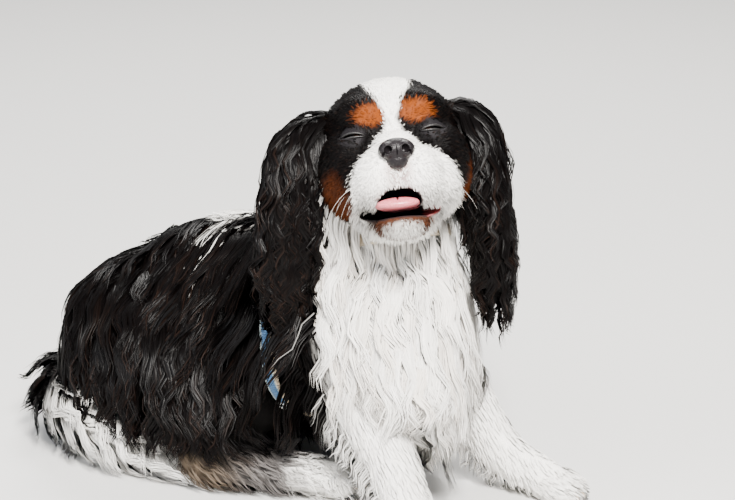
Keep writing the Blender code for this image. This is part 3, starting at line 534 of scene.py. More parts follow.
def cord_mesh(name, line, radii, sides_round=8, flat=1.0):
    """A closed round bar along the line, as thick at each point as given, its ends drawn in."""
    line = np.array(line, float)
    radii = np.array(radii, float)
    ahead = np.gradient(line, axis=0)
    ahead /= np.linalg.norm(ahead, axis=1)[:, None]
    guide = np.array((0.13, 0.31, 0.94))
    across = np.cross(ahead, guide)
    across /= np.linalg.norm(across, axis=1)[:, None]
    out = np.cross(across, ahead)
    angles = np.linspace(0, 2 * math.pi, sides_round, endpoint=False)
    rings = (
        line[:, None, :]
        + across[:, None, :] * (np.cos(angles)[None, :, None] * radii[:, None, None])
        + out[:, None, :] * (np.sin(angles)[None, :, None] * radii[:, None, None] * flat)
    )
    points = np.vstack([rings.reshape(-1, 3), line[:1], line[-1:]])
    faces = []
    for ring in range(len(line) - 1):
        for step in range(sides_round):
            a, b = ring * sides_round + step, ring * sides_round + (step + 1) % sides_round
            faces.append((a, b, b + sides_round))
            faces.append((a, b + sides_round, a + sides_round))
    for step in range(sides_round):
        ahead_step = (step + 1) % sides_round
        faces.append((len(points) - 2, ahead_step, step))
        last = (len(line) - 1) * sides_round
        faces.append((len(points) - 1, last + step, last + ahead_step))
    return points, np.array(faces)


def together(name, pieces):
    """One object of several meshes given as points and faces."""
    points, faces, start = [], [], 0
    for some, their in pieces:
        points.append(some)
        faces.append(their + start)
        start += len(some)
    made = mesh_object(name, np.vstack(points), np.vstack(faces))
    made.data.shade_smooth()
    select(made)
    bpy.ops.object.mode_set(mode="EDIT")
    bpy.ops.mesh.select_all(action="SELECT")
    bpy.ops.mesh.normals_make_consistent(inside=False)
    bpy.ops.object.mode_set(mode="OBJECT")
    return made


for side, name in sides.items():
    bars = []
    for lid in (-1, 1):
        line = []
        for step in np.linspace(-1, 1, 15):
            wide = step * 0.0112
            high = lid * 0.0018 * math.sqrt(max(0, 1 - step * step)) - 0.0007 - 0.0010 * step * step
            deep = math.sqrt(max(0.0, 0.0136**2 - wide**2 - high**2))
            line.append(eye_frames[side] @ Vector((deep, wide, high)))
        bars.append(cord_mesh("lid", line, 0.0009 * np.sqrt(np.clip(1.06 - np.linspace(-1, 1, 15) ** 2, 0.05, 1))))
    lids = together("eye_rims_" + name, bars)
    lids.data.materials.append(bare_skin)
    put(lids)

# The nose leather. Black, damp and finely pebbled, with two comma-shaped nostrils and the groove
# that runs down between them to the lip.

nose = melted(
    "nose_leather",
    [
        egg_frame((0.0785, 0, -0.0240), (0.0085, 0.0142, 0.0092)),
        egg_frame((0.0765, 0, -0.0320), (0.0070, 0.0085, 0.0068)),
        egg_frame((0.0825, -0.0068, -0.0250), (0.0056, 0.0066, 0.0066)),
        egg_frame((0.0825, 0.0068, -0.0250), (0.0056, 0.0066, 0.0066)),
    ],
    0.0008,
    3,
)
for side in sides:
    carve(nose, eggs("nostril", [egg_frame((0.0872, side * 0.0068, -0.0260), (0.0064, 0.0030, 0.0035), (side * 25, 0, side * 18))]))
    carve(nose, eggs("nostril tail", [egg_frame((0.0850, side * 0.0112, -0.0290), (0.0050, 0.0036, 0.0012), (side * -30, 0, side * 30))]))
carve(nose, eggs("groove", [egg_frame((0.0885, 0.0, -0.0320), (0.0052, 0.0007, 0.0100), (0, 8, 0))]))
nose.data.shade_smooth()
leather = bpy.data.materials.new("nose leather")
leather.use_nodes = True
nodes, links = leather.node_tree.nodes, leather.node_tree.links
shader = nodes["Principled BSDF"]
shader.inputs["Roughness"].default_value = 0.42
shader.inputs["Specular IOR Level"].default_value = 0.16
shader.inputs["Coat Weight"].default_value = 0.03
shader.inputs["Coat Roughness"].default_value = 0.2
place = nodes.new("ShaderNodeTexCoord")
pebbles = nodes.new("ShaderNodeTexVoronoi")
pebbles.inputs["Scale"].default_value = 850
links.new(place.outputs["Object"], pebbles.inputs["Vector"])
tint = nodes.new("ShaderNodeValToRGB")
tint.color_ramp.elements[0].color = (0.010, 0.008, 0.009, 1)
tint.color_ramp.elements[1].color = (0.005, 0.004, 0.005, 1)
links.new(pebbles.outputs["Distance"], tint.inputs["Fac"])
links.new(tint.outputs["Color"], shader.inputs["Base Color"])
bump = nodes.new("ShaderNodeBump")
bump.invert = True
bump.inputs["Strength"].default_value = 0.5
bump.inputs["Distance"].default_value = 0.0004
links.new(pebbles.outputs["Distance"], bump.inputs["Height"])
links.new(bump.outputs["Normal"], shader.inputs["Normal"])
nose.data.materials.append(leather)
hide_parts("nose")
put(nose)

# The mouth. Open in a pant: black lip edges under the flews, the pink gum at the corner and a soft
# pink tongue that lies over the lower lip with a groove down its middle.

tongue = melted(
    "tongue_soft",
    [
        egg_frame((0.0520, -0.003, -0.0600), (0.0215, 0.0178, 0.0048), (0, 14, 0)),
        egg_frame((0.0300, 0.0, -0.0560), (0.0200, 0.0160, 0.0045), (0, 10, 0)),
        egg_frame((0.0680, -0.003, -0.0632), (0.0085, 0.0165, 0.0042), (0, 24, 0)),
    ],
    0.0009,
    4,
)
carve(tongue, eggs("groove", [egg_frame((0.0620, -0.003, -0.0573), (0.0240, 0.0010, 0.0026), (0, 14, 0))]))
tongue.data.shade_smooth()
pink = bpy.data.materials.new("tongue")
pink.use_nodes = True
nodes, links = pink.node_tree.nodes, pink.node_tree.links
shader = nodes["Principled BSDF"]
shader.inputs["Roughness"].default_value = 0.33
shader.inputs["Subsurface Weight"].default_value = 0.15
shader.inputs["Subsurface Scale"].default_value = 0.004
place = nodes.new("ShaderNodeTexCoord")
buds = nodes.new("ShaderNodeTexNoise")
buds.inputs["Scale"].default_value = 700
links.new(place.outputs["Object"], buds.inputs["Vector"])
tint = nodes.new("ShaderNodeValToRGB")
tint.color_ramp.elements[0].position = 0.3
tint.color_ramp.elements[0].color = (0.42, 0.085, 0.105, 1)
tint.color_ramp.elements[1].position = 0.7
tint.color_ramp.elements[1].color = (0.62, 0.175, 0.195, 1)
links.new(buds.outputs["Fac"], tint.inputs["Fac"])
links.new(tint.outputs["Color"], shader.inputs["Base Color"])
bump = nodes.new("ShaderNodeBump")
bump.inputs["Strength"].default_value = 0.35
bump.inputs["Distance"].default_value = 0.0004
links.new(buds.outputs["Fac"], bump.inputs["Height"])
links.new(bump.outputs["Normal"], shader.inputs["Normal"])
tongue.data.materials.append(pink)
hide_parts("tongue")
put(tongue)

# The claws. Four short curved claws on each foot, of pale horn, each rooted in its toe.

claws = []
for foot in paw_frames:
    for spread in (-1.5, -0.5, 0.5, 1.5):
        reach = 0.0225 - 0.0022 * spread * spread
        line = []
        for t in np.linspace(0, 1, 7):
            line.append(foot @ Vector((reach + 0.009 * t, spread * 0.0090, -0.0005 - 0.0065 * t * t)))
        line = [Vector((p.x, p.y, max(p.z, 0.0026 - 0.0018 * t))) for p, t in zip(line, np.linspace(0, 1, 7))]
        claws.append(cord_mesh("claw", line, np.interp(np.linspace(0, 1, 7), [0, 0.5, 1], [0.0019, 0.0015, 0.0004])))
claws = together("claws", claws)
horn = bpy.data.materials.new("claw horn")
horn.use_nodes = True
nodes, links = horn.node_tree.nodes, horn.node_tree.links
shader = nodes["Principled BSDF"]
shader.inputs["Roughness"].default_value = 0.35
place = nodes.new("ShaderNodeTexCoord")
grain = nodes.new("ShaderNodeTexNoise")
grain.inputs["Scale"].default_value = 400
links.new(place.outputs["Object"], grain.inputs["Vector"])
tint = nodes.new("ShaderNodeValToRGB")
tint.color_ramp.elements[0].color = (0.30, 0.22, 0.16, 1)
tint.color_ramp.elements[1].color = (0.62, 0.52, 0.42, 1)
links.new(grain.outputs["Fac"], tint.inputs["Fac"])
links.new(tint.outputs["Color"], shader.inputs["Base Color"])
claws.data.materials.append(horn)
put(claws)

# The coat of the head. Short dense hair that lies back from the nose, parts over the blaze and grows
# longer on the cheeks and on the crown, where it runs into the ears.

chance = np.random.default_rng(7)


def unit(vectors):
    return vectors / np.maximum(np.linalg.norm(vectors, axis=-1, keepdims=True), 1e-9)


def rooted(weight, count):
    """That many places on the skin, more where the weight of a face is higher: place, facing, unwrapped
    place and face."""
    share = np.cumsum(face_area * weight)
    face = np.searchsorted(share, chance.random(count) * share[-1])
    face = np.minimum(face, len(face_area) - 1)
    a, b = chance.random(count), chance.random(count)
    over = a + b > 1
    a[over], b[over] = 1 - a[over], 1 - b[over]
    weights = np.stack([1 - a - b, a, b], 1)[:, :, None]
    return (corners[face] * weights).sum(1), face_normal[face], (skin_uv[face] * weights).sum(1), face


def raised(places, room):
    """The places moved out until they keep that room above the skin, and above the floor."""
    moved = places.copy()
    for index, place in enumerate(places):
        surface, normal, face, distance = skin_tree.find_nearest(place)
        if surface is None:
            continue
        height = (Vector(place) - surface).dot(normal)
        if height < room[index]:
            moved[index] = surface + normal * room[index]
    moved[:, 2] = np.maximum(moved[:, 2], 0.0022)
    return moved


def grow(name, weight, count, locks, lie, length, width, stand, loft, wave, turns, gather, finish, rings=5, shade=None):
    """A piece of coat: tufts rooted where the weight says, which follow the lie of the coat and draw
    together into wavy locks. Lengths and widths are in metres, stand is how steeply they leave the skin."""
    steps = 10
    start, facing, unused, face = rooted(weight, locks)
    long = length(start) * chance.uniform(0.85, 1.12, locks)
    lofts = loft * chance.uniform(0.2, 1.9, locks)
    flow = unit(lie(start))
    flow -= facing * np.minimum(0, (flow * facing).sum(1))[:, None]
    heading = unit(unit(flow) * (1 - stand) + facing * stand)
    path = [start - facing * 0.001]
    place = start
    for step in range(1, steps + 1):
        share = step / steps
        wanted = unit(unit(lie(place)) + chance.normal(0, 0.07, (locks, 3)))
        heading = unit(heading * 0.62 + wanted * 0.38)
        place = place + heading * (long / steps)[:, None]
        place = raised(place, 0.0006 + lofts * math.sin(math.pi * min(1.0, 0.15 + 0.8 * share)))
        path.append(place)
    path = np.stack(path, 1)
    swing = unit(np.cross(path[:, -1] - path[:, 0], facing))
    lift = unit(np.cross(swing, path[:, -1] - path[:, 0]))
    phase = 2.4 * np.sin(start @ (47.0, 31.0, 23.0)) + 2.0 * np.sin(start @ (-29.0, 53.0, 17.0)) + chance.normal(0, 0.5, locks)
    share = np.linspace(0, 1, steps + 1)
    angle = phase[:, None] + share[None, :] * turns * 2 * math.pi * chance.uniform(0.85, 1.15, (locks, 1))
    grown = np.minimum(1, share * 1.6)[None, :] * wave * chance.uniform(0.6, 1.3, (locks, 1))
    path += swing[:, None, :] * ((np.sin(angle) - np.sin(phase)[:, None]) * grown)[:, :, None]
    path += lift[:, None, :] * (np.abs(np.cos(angle)) * grown * 0.3)[:, :, None]

    root, out, place_uv, face = rooted(weight, count)
    lock = np.empty(count, int)
    for first in range(0, count, 2000):
        some = slice(first, first + 2000)
        gap = np.linalg.norm(root[some, None, :] - start[None, :, :], axis=2)
        gap += 0.02 * (1 - out[some] @ facing.T)
        lock[some] = np.argmin(gap, axis=1)
    along = np.linspace(0, 1, rings + 1) ** 0.9
    reach = chance.uniform(0.72, 1.06, count)
    at = np.clip(along[None, :] * reach[:, None], 0, 1) * steps
    index = np.minimum(at.astype(int), steps - 1)
    part = (at - index)[:, :, None]
    line = path[lock[:, None], index] * (1 - part) + path[lock[:, None], index + 1] * part
    keep = 1 - gather * along[None, :] ** 0.7
    line = line + (root - start[lock])[:, None, :] * keep[:, :, None]
    stray = chance.normal(0, 1, (count, 1, 3)) * (0.018 * length(root))[:, None, None]
    line = line + stray * (along[None, :, None] ** 1.5)
    flat = line[:, 1:].reshape(-1, 3)
    room = np.tile(np.linspace(0.5, 1.0, rings) * 0.0012, count)
    line[:, 1:] = raised(flat, room).reshape(count, rings, 3)
    line[:, 0] = root - out * 0.0012

    ahead = unit(np.gradient(line, axis=1))
    across = unit(np.cross(ahead, out[:, None, :] + chance.normal(0, 0.14, (count, 1, 3))))
    up = np.cross(across, ahead)
    broad = np.interp(along, [0, 0.2, 0.5, 0.8, 1], [0.8, 1, 0.85, 0.5, 0.0])
    thick = (width * chance.uniform(0.6, 1.35, count))[:, None] * broad[None, :] / 2
    if finish == silky:
        thick = thick * np.clip(length(root) / 0.055, 0.55, 1.0)[:, None]
    body = line[:, :-1]
    side = across[:, :-1] * thick[:, :-1, None]
    top = up[:, :-1] * thick[:, :-1, None]
    section = np.stack([body + side - top * 0.12, body + top * 0.36, body - side - top * 0.12], 2)
    points = np.concatenate([section.reshape(count, rings * 3, 3), line[:, -1:]], 1)
    points[:, :, 2] = np.maximum(points[:, :, 2], 0.0004)
    pattern = []
    for ring in range(rings - 1):
        for corner in range(3):
            a, b = ring * 3 + corner, ring * 3 + (corner + 1) % 3
            pattern.append((a, a + 3, b + 3))
            pattern.append((a, b + 3, b))
    last = (rings - 1) * 3
    for corner in range(3):
        pattern.append((last + corner, rings * 3, last + (corner + 1) % 3))
    pattern.append((0, 1, 2))
    pattern = np.array(pattern)
    per = rings * 3 + 1
    faces = (pattern[None, :, :] + (np.arange(count) * per)[:, None, None]).reshape(-1, 3)
    made = mesh_object(name, points.reshape(-1, 3), faces)
    soft = np.stack([across[:, :-1] * 0.45 + up[:, :-1] * 0.25, up[:, :-1] * 0.5, across[:, :-1] * -0.45 + up[:, :-1] * 0.25], 2)
    soft = np.concatenate([soft.reshape(count, rings * 3, 3), up[:, -1:] * 0.4], 1)
    soft = unit(soft + out[:, None, :] * (0.75 if finish == short_hair else 0.45)).reshape(-1, 3)

    shift = chance.normal(0, 0.0012, (count, 3))
    base = markings(root + shift, face_part[face])
    if shade is not None:
        base = np.where(base.mean(axis=1)[:, None] > 0.5, blend(base, shade, 0.34 * chance.random(locks)[lock] ** 2), base)
    bright = base.mean(axis=1)
    tone = chance.uniform(0.88, 1.08, count)[:, None] * (1 - 0.08 * chance.random((locks, 1))[lock])
    base = base * tone
    dark = np.clip(1 - bright * 6, 0, 1)[:, None]
    # Painted highlight: brown glints added at random to the dark coat's colour, stronger towards each tuft's tip
    glint = np.array((0.016, 0.008, 0.005)) * dark * chance.random((count, 1)) ** 6
    share = np.append(np.repeat(along[:-1], 3), 1.0)
    tips = base[:, None, :] * (0.86 + 0.18 * share[None, :, None]) + glint[:, None, :] * share[None, :, None] ** 2
    paint(made, tips.reshape(-1, 3))

    patch = np.zeros((per, 2))
    patch[:-1, 0] = np.tile([-0.0015, 0.0, 0.0015], rings)
    patch[:, 1] = share * 0.003 - 0.0015
    uv = (place_uv[:, None, :] + patch[None, :, :]).reshape(-1, 2)
    layer = made.data.uv_layers.new(name="OFBake")
    layer.data.foreach_set("uv", uv[faces.ravel()].astype(np.float32).ravel())
    strand = np.zeros((count, per, 2))
    strand[:, :-1, 0] = np.tile([-0.5, 0.0, 0.5], rings)
    strand[:, :, 0] = strand[:, :, 0] * width * 450 + chance.uniform(0, 40, (count, 1))
    strand[:, :, 1] = share * 0.8 + chance.uniform(0, 40, (count, 1))
    strand = strand.reshape(-1, 2)
    layer = made.data.uv_layers.new(name="strand")
    layer.data.foreach_set("uv", strand[faces.ravel()].astype(np.float32).ravel())
    made.data.shade_smooth()
    made.data.normals_split_custom_set_from_vertices(soft.astype(np.float32))
    made.data.materials.append(finish)
    put(made)
    return made


def on_parts(*names):
    """1 for the faces of those parts, 0 for the others."""
    return np.isin(face_part, [parts.index(name) for name in names]).astype(float)


ahead_face, left_face, up_face = (face_centre @ into_head[:3, :3].T + into_head[:3, 3]).T
bald = spot(face_centre, head_frame @ Vector((0.080, 0, -0.025)), (0.013, 0.013, 0.013))
for side in sides:
    bald = np.maximum(bald, spot(face_centre, eye_frames[side] @ Vector((0.0120, 0, 0)), (0.0085, 0.0085, 0.0050)))
on_head = on_parts("head") * (from_mouth(face_centre) > 1.04) * (1 - bald)
NOSE = head_frame @ Vector((0.078, 0, -0.026))


def back_from_nose(places):
    local = places @ into_head[:3, :3].T + into_head[:3, 3]
    ahead, left, up = local.T
    flow = local - np.array((0.088, 0, -0.018))
    flow = unit(flow) + np.stack([np.full(len(local), -0.5), np.sign(left) * 0.1, np.where(up < -0.01, -0.45, 0.0)], 1)
    return flow @ np.array(head_frame)[:3, :3].T


def head_length(places):
    local = places @ into_head[:3, :3].T + into_head[:3, 3]
    return np.interp(local[:, 0], [-0.03, 0.01, 0.05, 0.085], [0.017, 0.0095, 0.0046, 0.0026])


grow("coat_face", on_head * (ahead_face > 0.012), 8600, 2000, back_from_nose, head_length, 0.0010,
     0.07, 0.0001, 0.0002, 1, 0.30, short_hair, rings=3)
grow("coat_crown", on_head * (ahead_face <= 0.012), 4200, 900, back_from_nose, head_length, 0.0015,
     0.14, 0.0006, 0.0006, 1, 0.35, short_hair, rings=3)

# The whiskers. A few long stiff white hairs on each side of the muzzle, thinner than a thread at their
# tips, rooted in the pads of the upper lip.

whiskers = []
for side in sides:
    for row, (back_off, down_off, far) in enumerate(
        ((0.000, 0.000, 0.040), (-0.005, -0.004, 0.046), (-0.009, 0.002, 0.042), (-0.012, -0.006, 0.036), (0.003, -0.007, 0.030))
    ):
        line = []
        for t in np.linspace(0, 1, 8):
            line.append(head_frame @ Vector((
                0.070 + back_off - 0.020 * t * t - 0.006 * t,
                side * (0.018 + 0.006 * (row % 2) + far * (t - 0.25 * t * t)),
                -0.040 + down_off + 0.010 * t * (row - 1.5) / 2 - 0.020 * t * t,
            )))
        whiskers.append(cord_mesh("whisker", line, np.linspace(0.00016, 0.00006, 8), 3))
whiskers = together("whiskers", whiskers)
stiff = bpy.data.materials.new("whisker")
stiff.use_nodes = True
nodes, links = stiff.node_tree.nodes, stiff.node_tree.links
nodes["Principled BSDF"].inputs["Roughness"].default_value = 0.3
place = nodes.new("ShaderNodeTexCoord")
grain = nodes.new("ShaderNodeTexNoise")
grain.inputs["Scale"].default_value = 300
links.new(place.outputs["Object"], grain.inputs["Vector"])
tint = nodes.new("ShaderNodeValToRGB")
tint.color_ramp.elements[0].color = (0.70, 0.66, 0.60, 1)
tint.color_ramp.elements[1].color = (0.95, 0.93, 0.90, 1)
links.new(grain.outputs["Fac"], tint.inputs["Fac"])
links.new(tint.outputs["Color"], nodes["Principled BSDF"].inputs["Base Color"])
whiskers.data.materials.append(stiff)
put(whiskers)

# The ears' feathering. Long black hair that falls straight from the top of each ear and ends in soft
# curls below it, brown where the sun catches it.


def hanging(places):
    away = unit((places - np.array(HEAD_AT)) * (1, 1, 0))
    return away * 0.35 * ramp(places[:, 2], 0.305, 0.330)[:, None] - np.array((0.0, 0.0, 1.0))


def ear_length(places):
    return np.interp(places[:, 2], [0.18, 0.24, 0.30, 0.34], [0.042, 0.060, 0.085, 0.095])


for side, name in sides.items():
    grow("coat_ear_" + name, on_parts("ear_" + name) * (1 + 2 * ramp(face_centre[:, 2], 0.295, 0.325)), 3000, 200, hanging, ear_length, 0.0024,
         0.30, 0.003, 0.0064, 2.5, 0.50, silky, rings=8)

# The coat of the neck and the breast. A thick white ruff and bib of long waved hair that hangs from
# the throat over the breast to below the elbows.


def down_front(places):
    flow = np.tile(np.array((0.16, -0.06, -1.0)), (len(places), 1))
    flow[:, 0] += 0.20 * ramp(0.07 - places[:, 0], 0, 0.04)
    return flow


def bib_length(places):
    long = np.interp(places[:, 2], [0.08, 0.14, 0.22, 0.27], [0.060, 0.090, 0.075, 0.040])
    return long * (1 - 0.55 * ramp(-places[:, 1], 0.048, 0.066) * ramp(0.165 - places[:, 2], 0, 0.03))


girth_run = 0.019 + 0.10 * (0.14 - face_centre[:, 2])
girth_bare = (np.abs(face_centre[:, 0] - girth_run) < 0.012) & (face_centre[:, 1] < -0.02) & (face_centre[:, 2] < 0.160)
front_faces = (girth_bare == 0) * on_parts("trunk") * ((face_centre[:, 0] + 0.25 * (face_centre[:, 2] - 0.20) - 0.35 * np.abs(face_centre[:, 1] + 0.02)) > 0.036)
under_ear = ramp(-face_centre[:, 1], 0.058, 0.066) * ramp(face_centre[:, 2], 0.165, 0.175) * (face_centre[:, 0] < 0.054)
front_faces = front_faces * (under_ear < 0.5)
grow("coat_breast", front_faces * (face_centre[:, 2] <= 0.20), 5600, 220, down_front, bib_length, 0.0017,
     0.24, 0.006, 0.0064, 1.6, 0.50, silky, rings=6, shade=BEIGE)
grow("coat_neck", front_faces * (face_centre[:, 2] > 0.20), 3700, 190, down_front, bib_length, 0.0018,
     0.22, 0.005, 0.0050, 1.4, 0.48, silky, rings=5, shade=BEIGE)

# The coat of the back and the sides. Long glossy black hair that parts along the spine and hangs over
# the ribs in S-shaped waves.


def down_sides(places):
    flow = np.empty((len(places), 3))
    flow[:, 0] = np.interp(places[:, 0], [-0.24, -0.16, -0.06, 0.00], [0.10, 0.22, -0.10, 0.04])
    flow[:, 1] = np.clip(places[:, 1] / 0.06, -1, 1) * 0.9 * ramp(places[:, 2], 0.06, 0.16)
    flow[:, 2] = -0.75 * np.clip(np.abs(places[:, 1]) / 0.03 + ramp(-places[:, 0], 0.12, 0.20), 0.25, 1)
    return flow


def back_length(places):
    return np.interp(places[:, 2], [0.05, 0.12, 0.22], [0.034, 0.078, 0.090])


streak = spot(face_centre, (-0.066, -0.014, 0.208), (0.022, 0.009, 0.012)) * on_parts("trunk")
back_faces = on_parts("trunk") * (front_faces == 0) * (girth_bare == 0) * (under_ear < 0.5) * (1 - streak)
for name, area, number in (
    ("coat_back_right", back_faces * (face_centre[:, 1] < 0) * (face_centre[:, 0] > -0.11), 4000),
    ("coat_back_left", back_faces * (face_centre[:, 1] >= 0) * (face_centre[:, 0] > -0.11), 2300),
    ("coat_rump", back_faces * (face_centre[:, 0] <= -0.11), 2800),
):
    grow(name, area, number, 180, down_sides, back_length, 0.0024, 0.16, 0.003, 0.0048, 1.6, 0.45, silky, rings=6)



def along_spine(places):
    return np.tile(np.array((-1.0, -0.12, -0.10)), (len(places), 1))


def streak_length(places):
    return np.full(len(places), 0.028)


grow("coat_withers", streak, 300, 36, along_spine, streak_length, 0.0018, 0.22, 0.003, 0.0030, 1.0, 0.45, silky, rings=5)

# The coat of the thighs. The same long black hair, which falls from each thigh to the ground and
# covers the shank.


def down_thighs(places):
    flow = np.empty((len(places), 3))
    flow[:, 0] = 0.22
    flow[:, 1] = np.sign(places[:, 1]) * 0.30
    flow[:, 2] = -1.0
    return flow


def thigh_length(places):
    return np.interp(places[:, 2], [0.03, 0.08, 0.16], [0.022, 0.052, 0.086])


for side, name in sides.items():
    grow("coat_thigh_" + name, on_parts("thigh_" + name) * (face_centre[:, 0] < -0.012), 3600 if side < 0 else 2100, 160, down_thighs, thigh_length, 0.0024,
         0.16, 0.003, 0.0056, 1.8, 0.50, silky, rings=6)

# The tail's plume. Black curls at its root, then long white and silver hair that fans out along the
# ground beside the thigh.

tail_run = curve_through(TAIL, 40)
tail_way = unit(np.gradient(tail_run, axis=0))


def plume(places):
    index = np.argmin(np.linalg.norm(places[:, None, :] - tail_run[None, :, :], axis=2), axis=1)
    return tail_way[index] + unit(places - tail_run[index]) * 0.32 - np.array((0, 0, 0.18))


def plume_length(places):
    return np.full(len(places), 0.056)


grow("coat_tail", on_parts("tail"), 2400, 110, plume, plume_length, 0.0016, 0.12, 0.003, 0.0056, 1.4, 0.50, silky, rings=6)

# The coat of the legs and feet. Short white hair down the front of each foreleg with long feathers
# behind it, and tufts over the toes.


def down_leg(places):
    return np.tile(np.array((0.55, -0.05, -0.85)), (len(places), 1))


def leg_length(places):
    return np.interp(places[:, 2], [0.01, 0.05, 0.12], [0.010, 0.015, 0.022])


def off_elbow(places):
    return np.tile(np.array((-0.22, 0.0, -0.95)), (len(places), 1))


def feather_length(places):
    return np.interp(places[:, 2], [0.02, 0.06, 0.12], [0.016, 0.028, 0.036])


def along_foot(places):
    return np.tile(np.array((0.9, 0.0, -0.35)), (len(places), 1))


def foot_length(places):
    return np.interp(places[:, 0], [-0.04, 0.0, 0.05], [0.024, 0.026, 0.014])


def toe_length(places):
    return np.full(len(places), 0.011)


behind = ramp(-face_normal[:, 0] + 0.2 * -face_normal[:, 2], 0.1, 0.6)
for side, name in sides.items():
    grow("coat_foreleg_" + name, on_parts("foreleg_" + name) * (girth_bare == 0), 1700, 400, down_leg, leg_length, 0.0018,
         0.14, 0.0008, 0.0006, 1, 0.35, short_hair, rings=3)
    grow("coat_feather_" + name, on_parts("foreleg_" + name) * behind, 500, 60, off_elbow, feather_length, 0.0020,
         0.40, 0.002, 0.0035, 1.5, 0.45, silky, rings=5)
    grow("coat_paw_" + name, on_parts("paw_" + name) * (face_centre[:, 2] > 0.004), 1000, 240, along_foot, toe_length, 0.0015,
         0.20, 0.0006, 0.0004, 1, 0.3, short_hair, rings=3)
    grow("coat_hind_foot_" + name, on_parts("foot_" + name) * (face_centre[:, 2] > 0.003), 1500, 200, along_foot, foot_length, 0.0022,
         0.30, 0.002, 0.0024, 1, 0.45, silky, rings=3)

# The harness. A flat blue webbing strap with pale woven edges runs round the chest behind the elbows
# and a softer beige one round the neck's base. Both are half sunk in the coat.


def webbing(name, edge, middle):
    """Woven tape: fine ribs across its width, paler at both edges."""
    made = bpy.data.materials.new(name)
    made.use_nodes = True
    nodes, links = made.node_tree.nodes, made.node_tree.links
    shader = nodes["Principled BSDF"]
    shader.inputs["Roughness"].default_value = 0.78
    shader.inputs["Sheen Weight"].default_value = 0.2
    place = nodes.new("ShaderNodeUVMap")
    place.uv_map = "OFBake"
    apart = nodes.new("ShaderNodeSeparateXYZ")
    links.new(place.outputs["UV"], apart.inputs["Vector"])
    across = nodes.new("ShaderNodeValToRGB")
    across.color_ramp.elements[0].position = 0.10
    across.color_ramp.elements[0].color = (*edge, 1)
    across.color_ramp.elements[1].position = 0.20
    across.color_ramp.elements[1].color = (*middle, 1)
    for spot_at, shade in ((0.80, middle), (0.90, edge)):
        stop = across.color_ramp.elements.new(spot_at)
        stop.color = (*shade, 1)
    links.new(apart.outputs["Y"], across.inputs["Fac"])
    weave = nodes.new("ShaderNodeTexWave")
    weave.bands_direction = "X"
    weave.inputs["Scale"].default_value = 95
    weave.inputs["Distortion"].default_value = 1.2
    weave.inputs["Detail"].default_value = 2
    links.new(place.outputs["UV"], weave.inputs["Vector"])
    tone = nodes.new("ShaderNodeMapRange")
    tone.inputs["To Min"].default_value = 0.65
    tone.inputs["To Max"].default_value = 1.1
    links.new(weave.outputs["Fac"], tone.inputs["Value"])
    shade = nodes.new("ShaderNodeVectorMath")
    shade.operation = "SCALE"
    links.new(across.outputs["Color"], shade.inputs[0])
    links.new(tone.outputs["Result"], shade.inputs["Scale"])
    links.new(shade.outputs["Vector"], shader.inputs["Base Color"])
    bump = nodes.new("ShaderNodeBump")
    bump.inputs["Strength"].default_value = 0.6
    bump.inputs["Distance"].default_value = 0.0005
    links.new(weave.outputs["Fac"], bump.inputs["Height"])
    links.new(bump.outputs["Normal"], shader.inputs["Normal"])
    return made


runs = {}


def strap(name, middle, normal, upright, half_width, stand_off, finish, replaced):
    """A closed band round the trunk in a plane, as far off the skin as given at each angle."""
    normal = Vector(normal).normalized()
    across = Vector(upright).cross(normal).normalized()
    upright = normal.cross(across)
    ring = []
    turns = 96
    for step in range(turns):
        angle = 2 * math.pi * step / turns
        ray = across * math.sin(angle) + upright * math.cos(angle)
        hit = None
        for far in (0.13, 0.11, 0.09, 0.07):
            surface, facing, face, distance = skin_tree.ray_cast(Vector(middle) + ray * far, -ray, far)
            if surface is not None and parts[face_part[face]] == "trunk":
                hit = surface
                break
        ring.append((hit - Vector(middle)).length if hit is not None else None)
    known = [step for step in range(turns) if ring[step] is not None]
    reach = np.interp(range(turns), known, [ring[step] for step in known], period=turns)
    reach = np.minimum(reach, 0.096)
    for again in range(6):
        reach = np.maximum(reach, (np.roll(reach, 1) + np.roll(reach, -1)) / 2)
    points, faces, uv = [], [], []
    runs[name] = []
    for step in range(turns):
        angle = 2 * math.pi * step / turns
        ray = across * math.sin(angle) + upright * math.cos(angle)
        centre = Vector(middle) + ray * (reach[step] + stand_off(angle))
        runs[name].append((centre, ray))
        for place, height in ((-1, 0.0), (-0.96, 0.0008), (0, 0.0011), (0.96, 0.0008), (1, 0.0), (0, -0.0003)):
            points.append(centre + normal * (place * half_width) + ray * height)
            uv.append((step / turns, 0.5 + 0.5 * place))
    for step in range(turns):
        ahead = (step + 1) % turns
        for k in range(6):
            faces.append((step * 6 + k, step * 6 + (k + 1) % 6, ahead * 6 + (k + 1) % 6, ahead * 6 + k))
    made = mesh_object(name, [list(p) for p in points], faces)
    select(made)
    bpy.ops.object.mode_set(mode="EDIT")
    bpy.ops.mesh.select_all(action="SELECT")
    bpy.ops.mesh.normals_make_consistent(inside=False)
    bpy.ops.object.mode_set(mode="OBJECT")
    layer = made.data.uv_layers.new(name="OFBake")
    for loop in made.data.loops:
        layer.data[loop.index].uv = uv[loop.vertex_index]
    made.data.shade_smooth()
    made.data.materials.append(finish)
    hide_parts(replaced)
    put(made)
    return made


blue_tape = webbing("blue webbing", (0.45, 0.55, 0.55), (0.055, 0.16, 0.33))
beige_tape = webbing("beige webbing", (0.66, 0.56, 0.42), (0.60, 0.48, 0.34))


def over_ribs(angle):
    return 0.0015 + 0.0155 * max(0.0, -math.sin(angle)) ** 2 * (1 + 1.5 * max(0.0, -math.cos(angle)))


def round_neck(angle):
    return 0.004


strap("girth_strap", (0.019, -0.008, 0.14), (1, 0, 0.10), (0, 0, 1), 0.0055, over_ribs, blue_tape, "harness_girth_strap")
strap("neck_strap", (0.062, -0.034, 0.208), (-0.34, 0.22, 0.92), (0.9, -0.38, 0.3), 0.0050, round_neck, beige_tape, "harness_neck_loop")

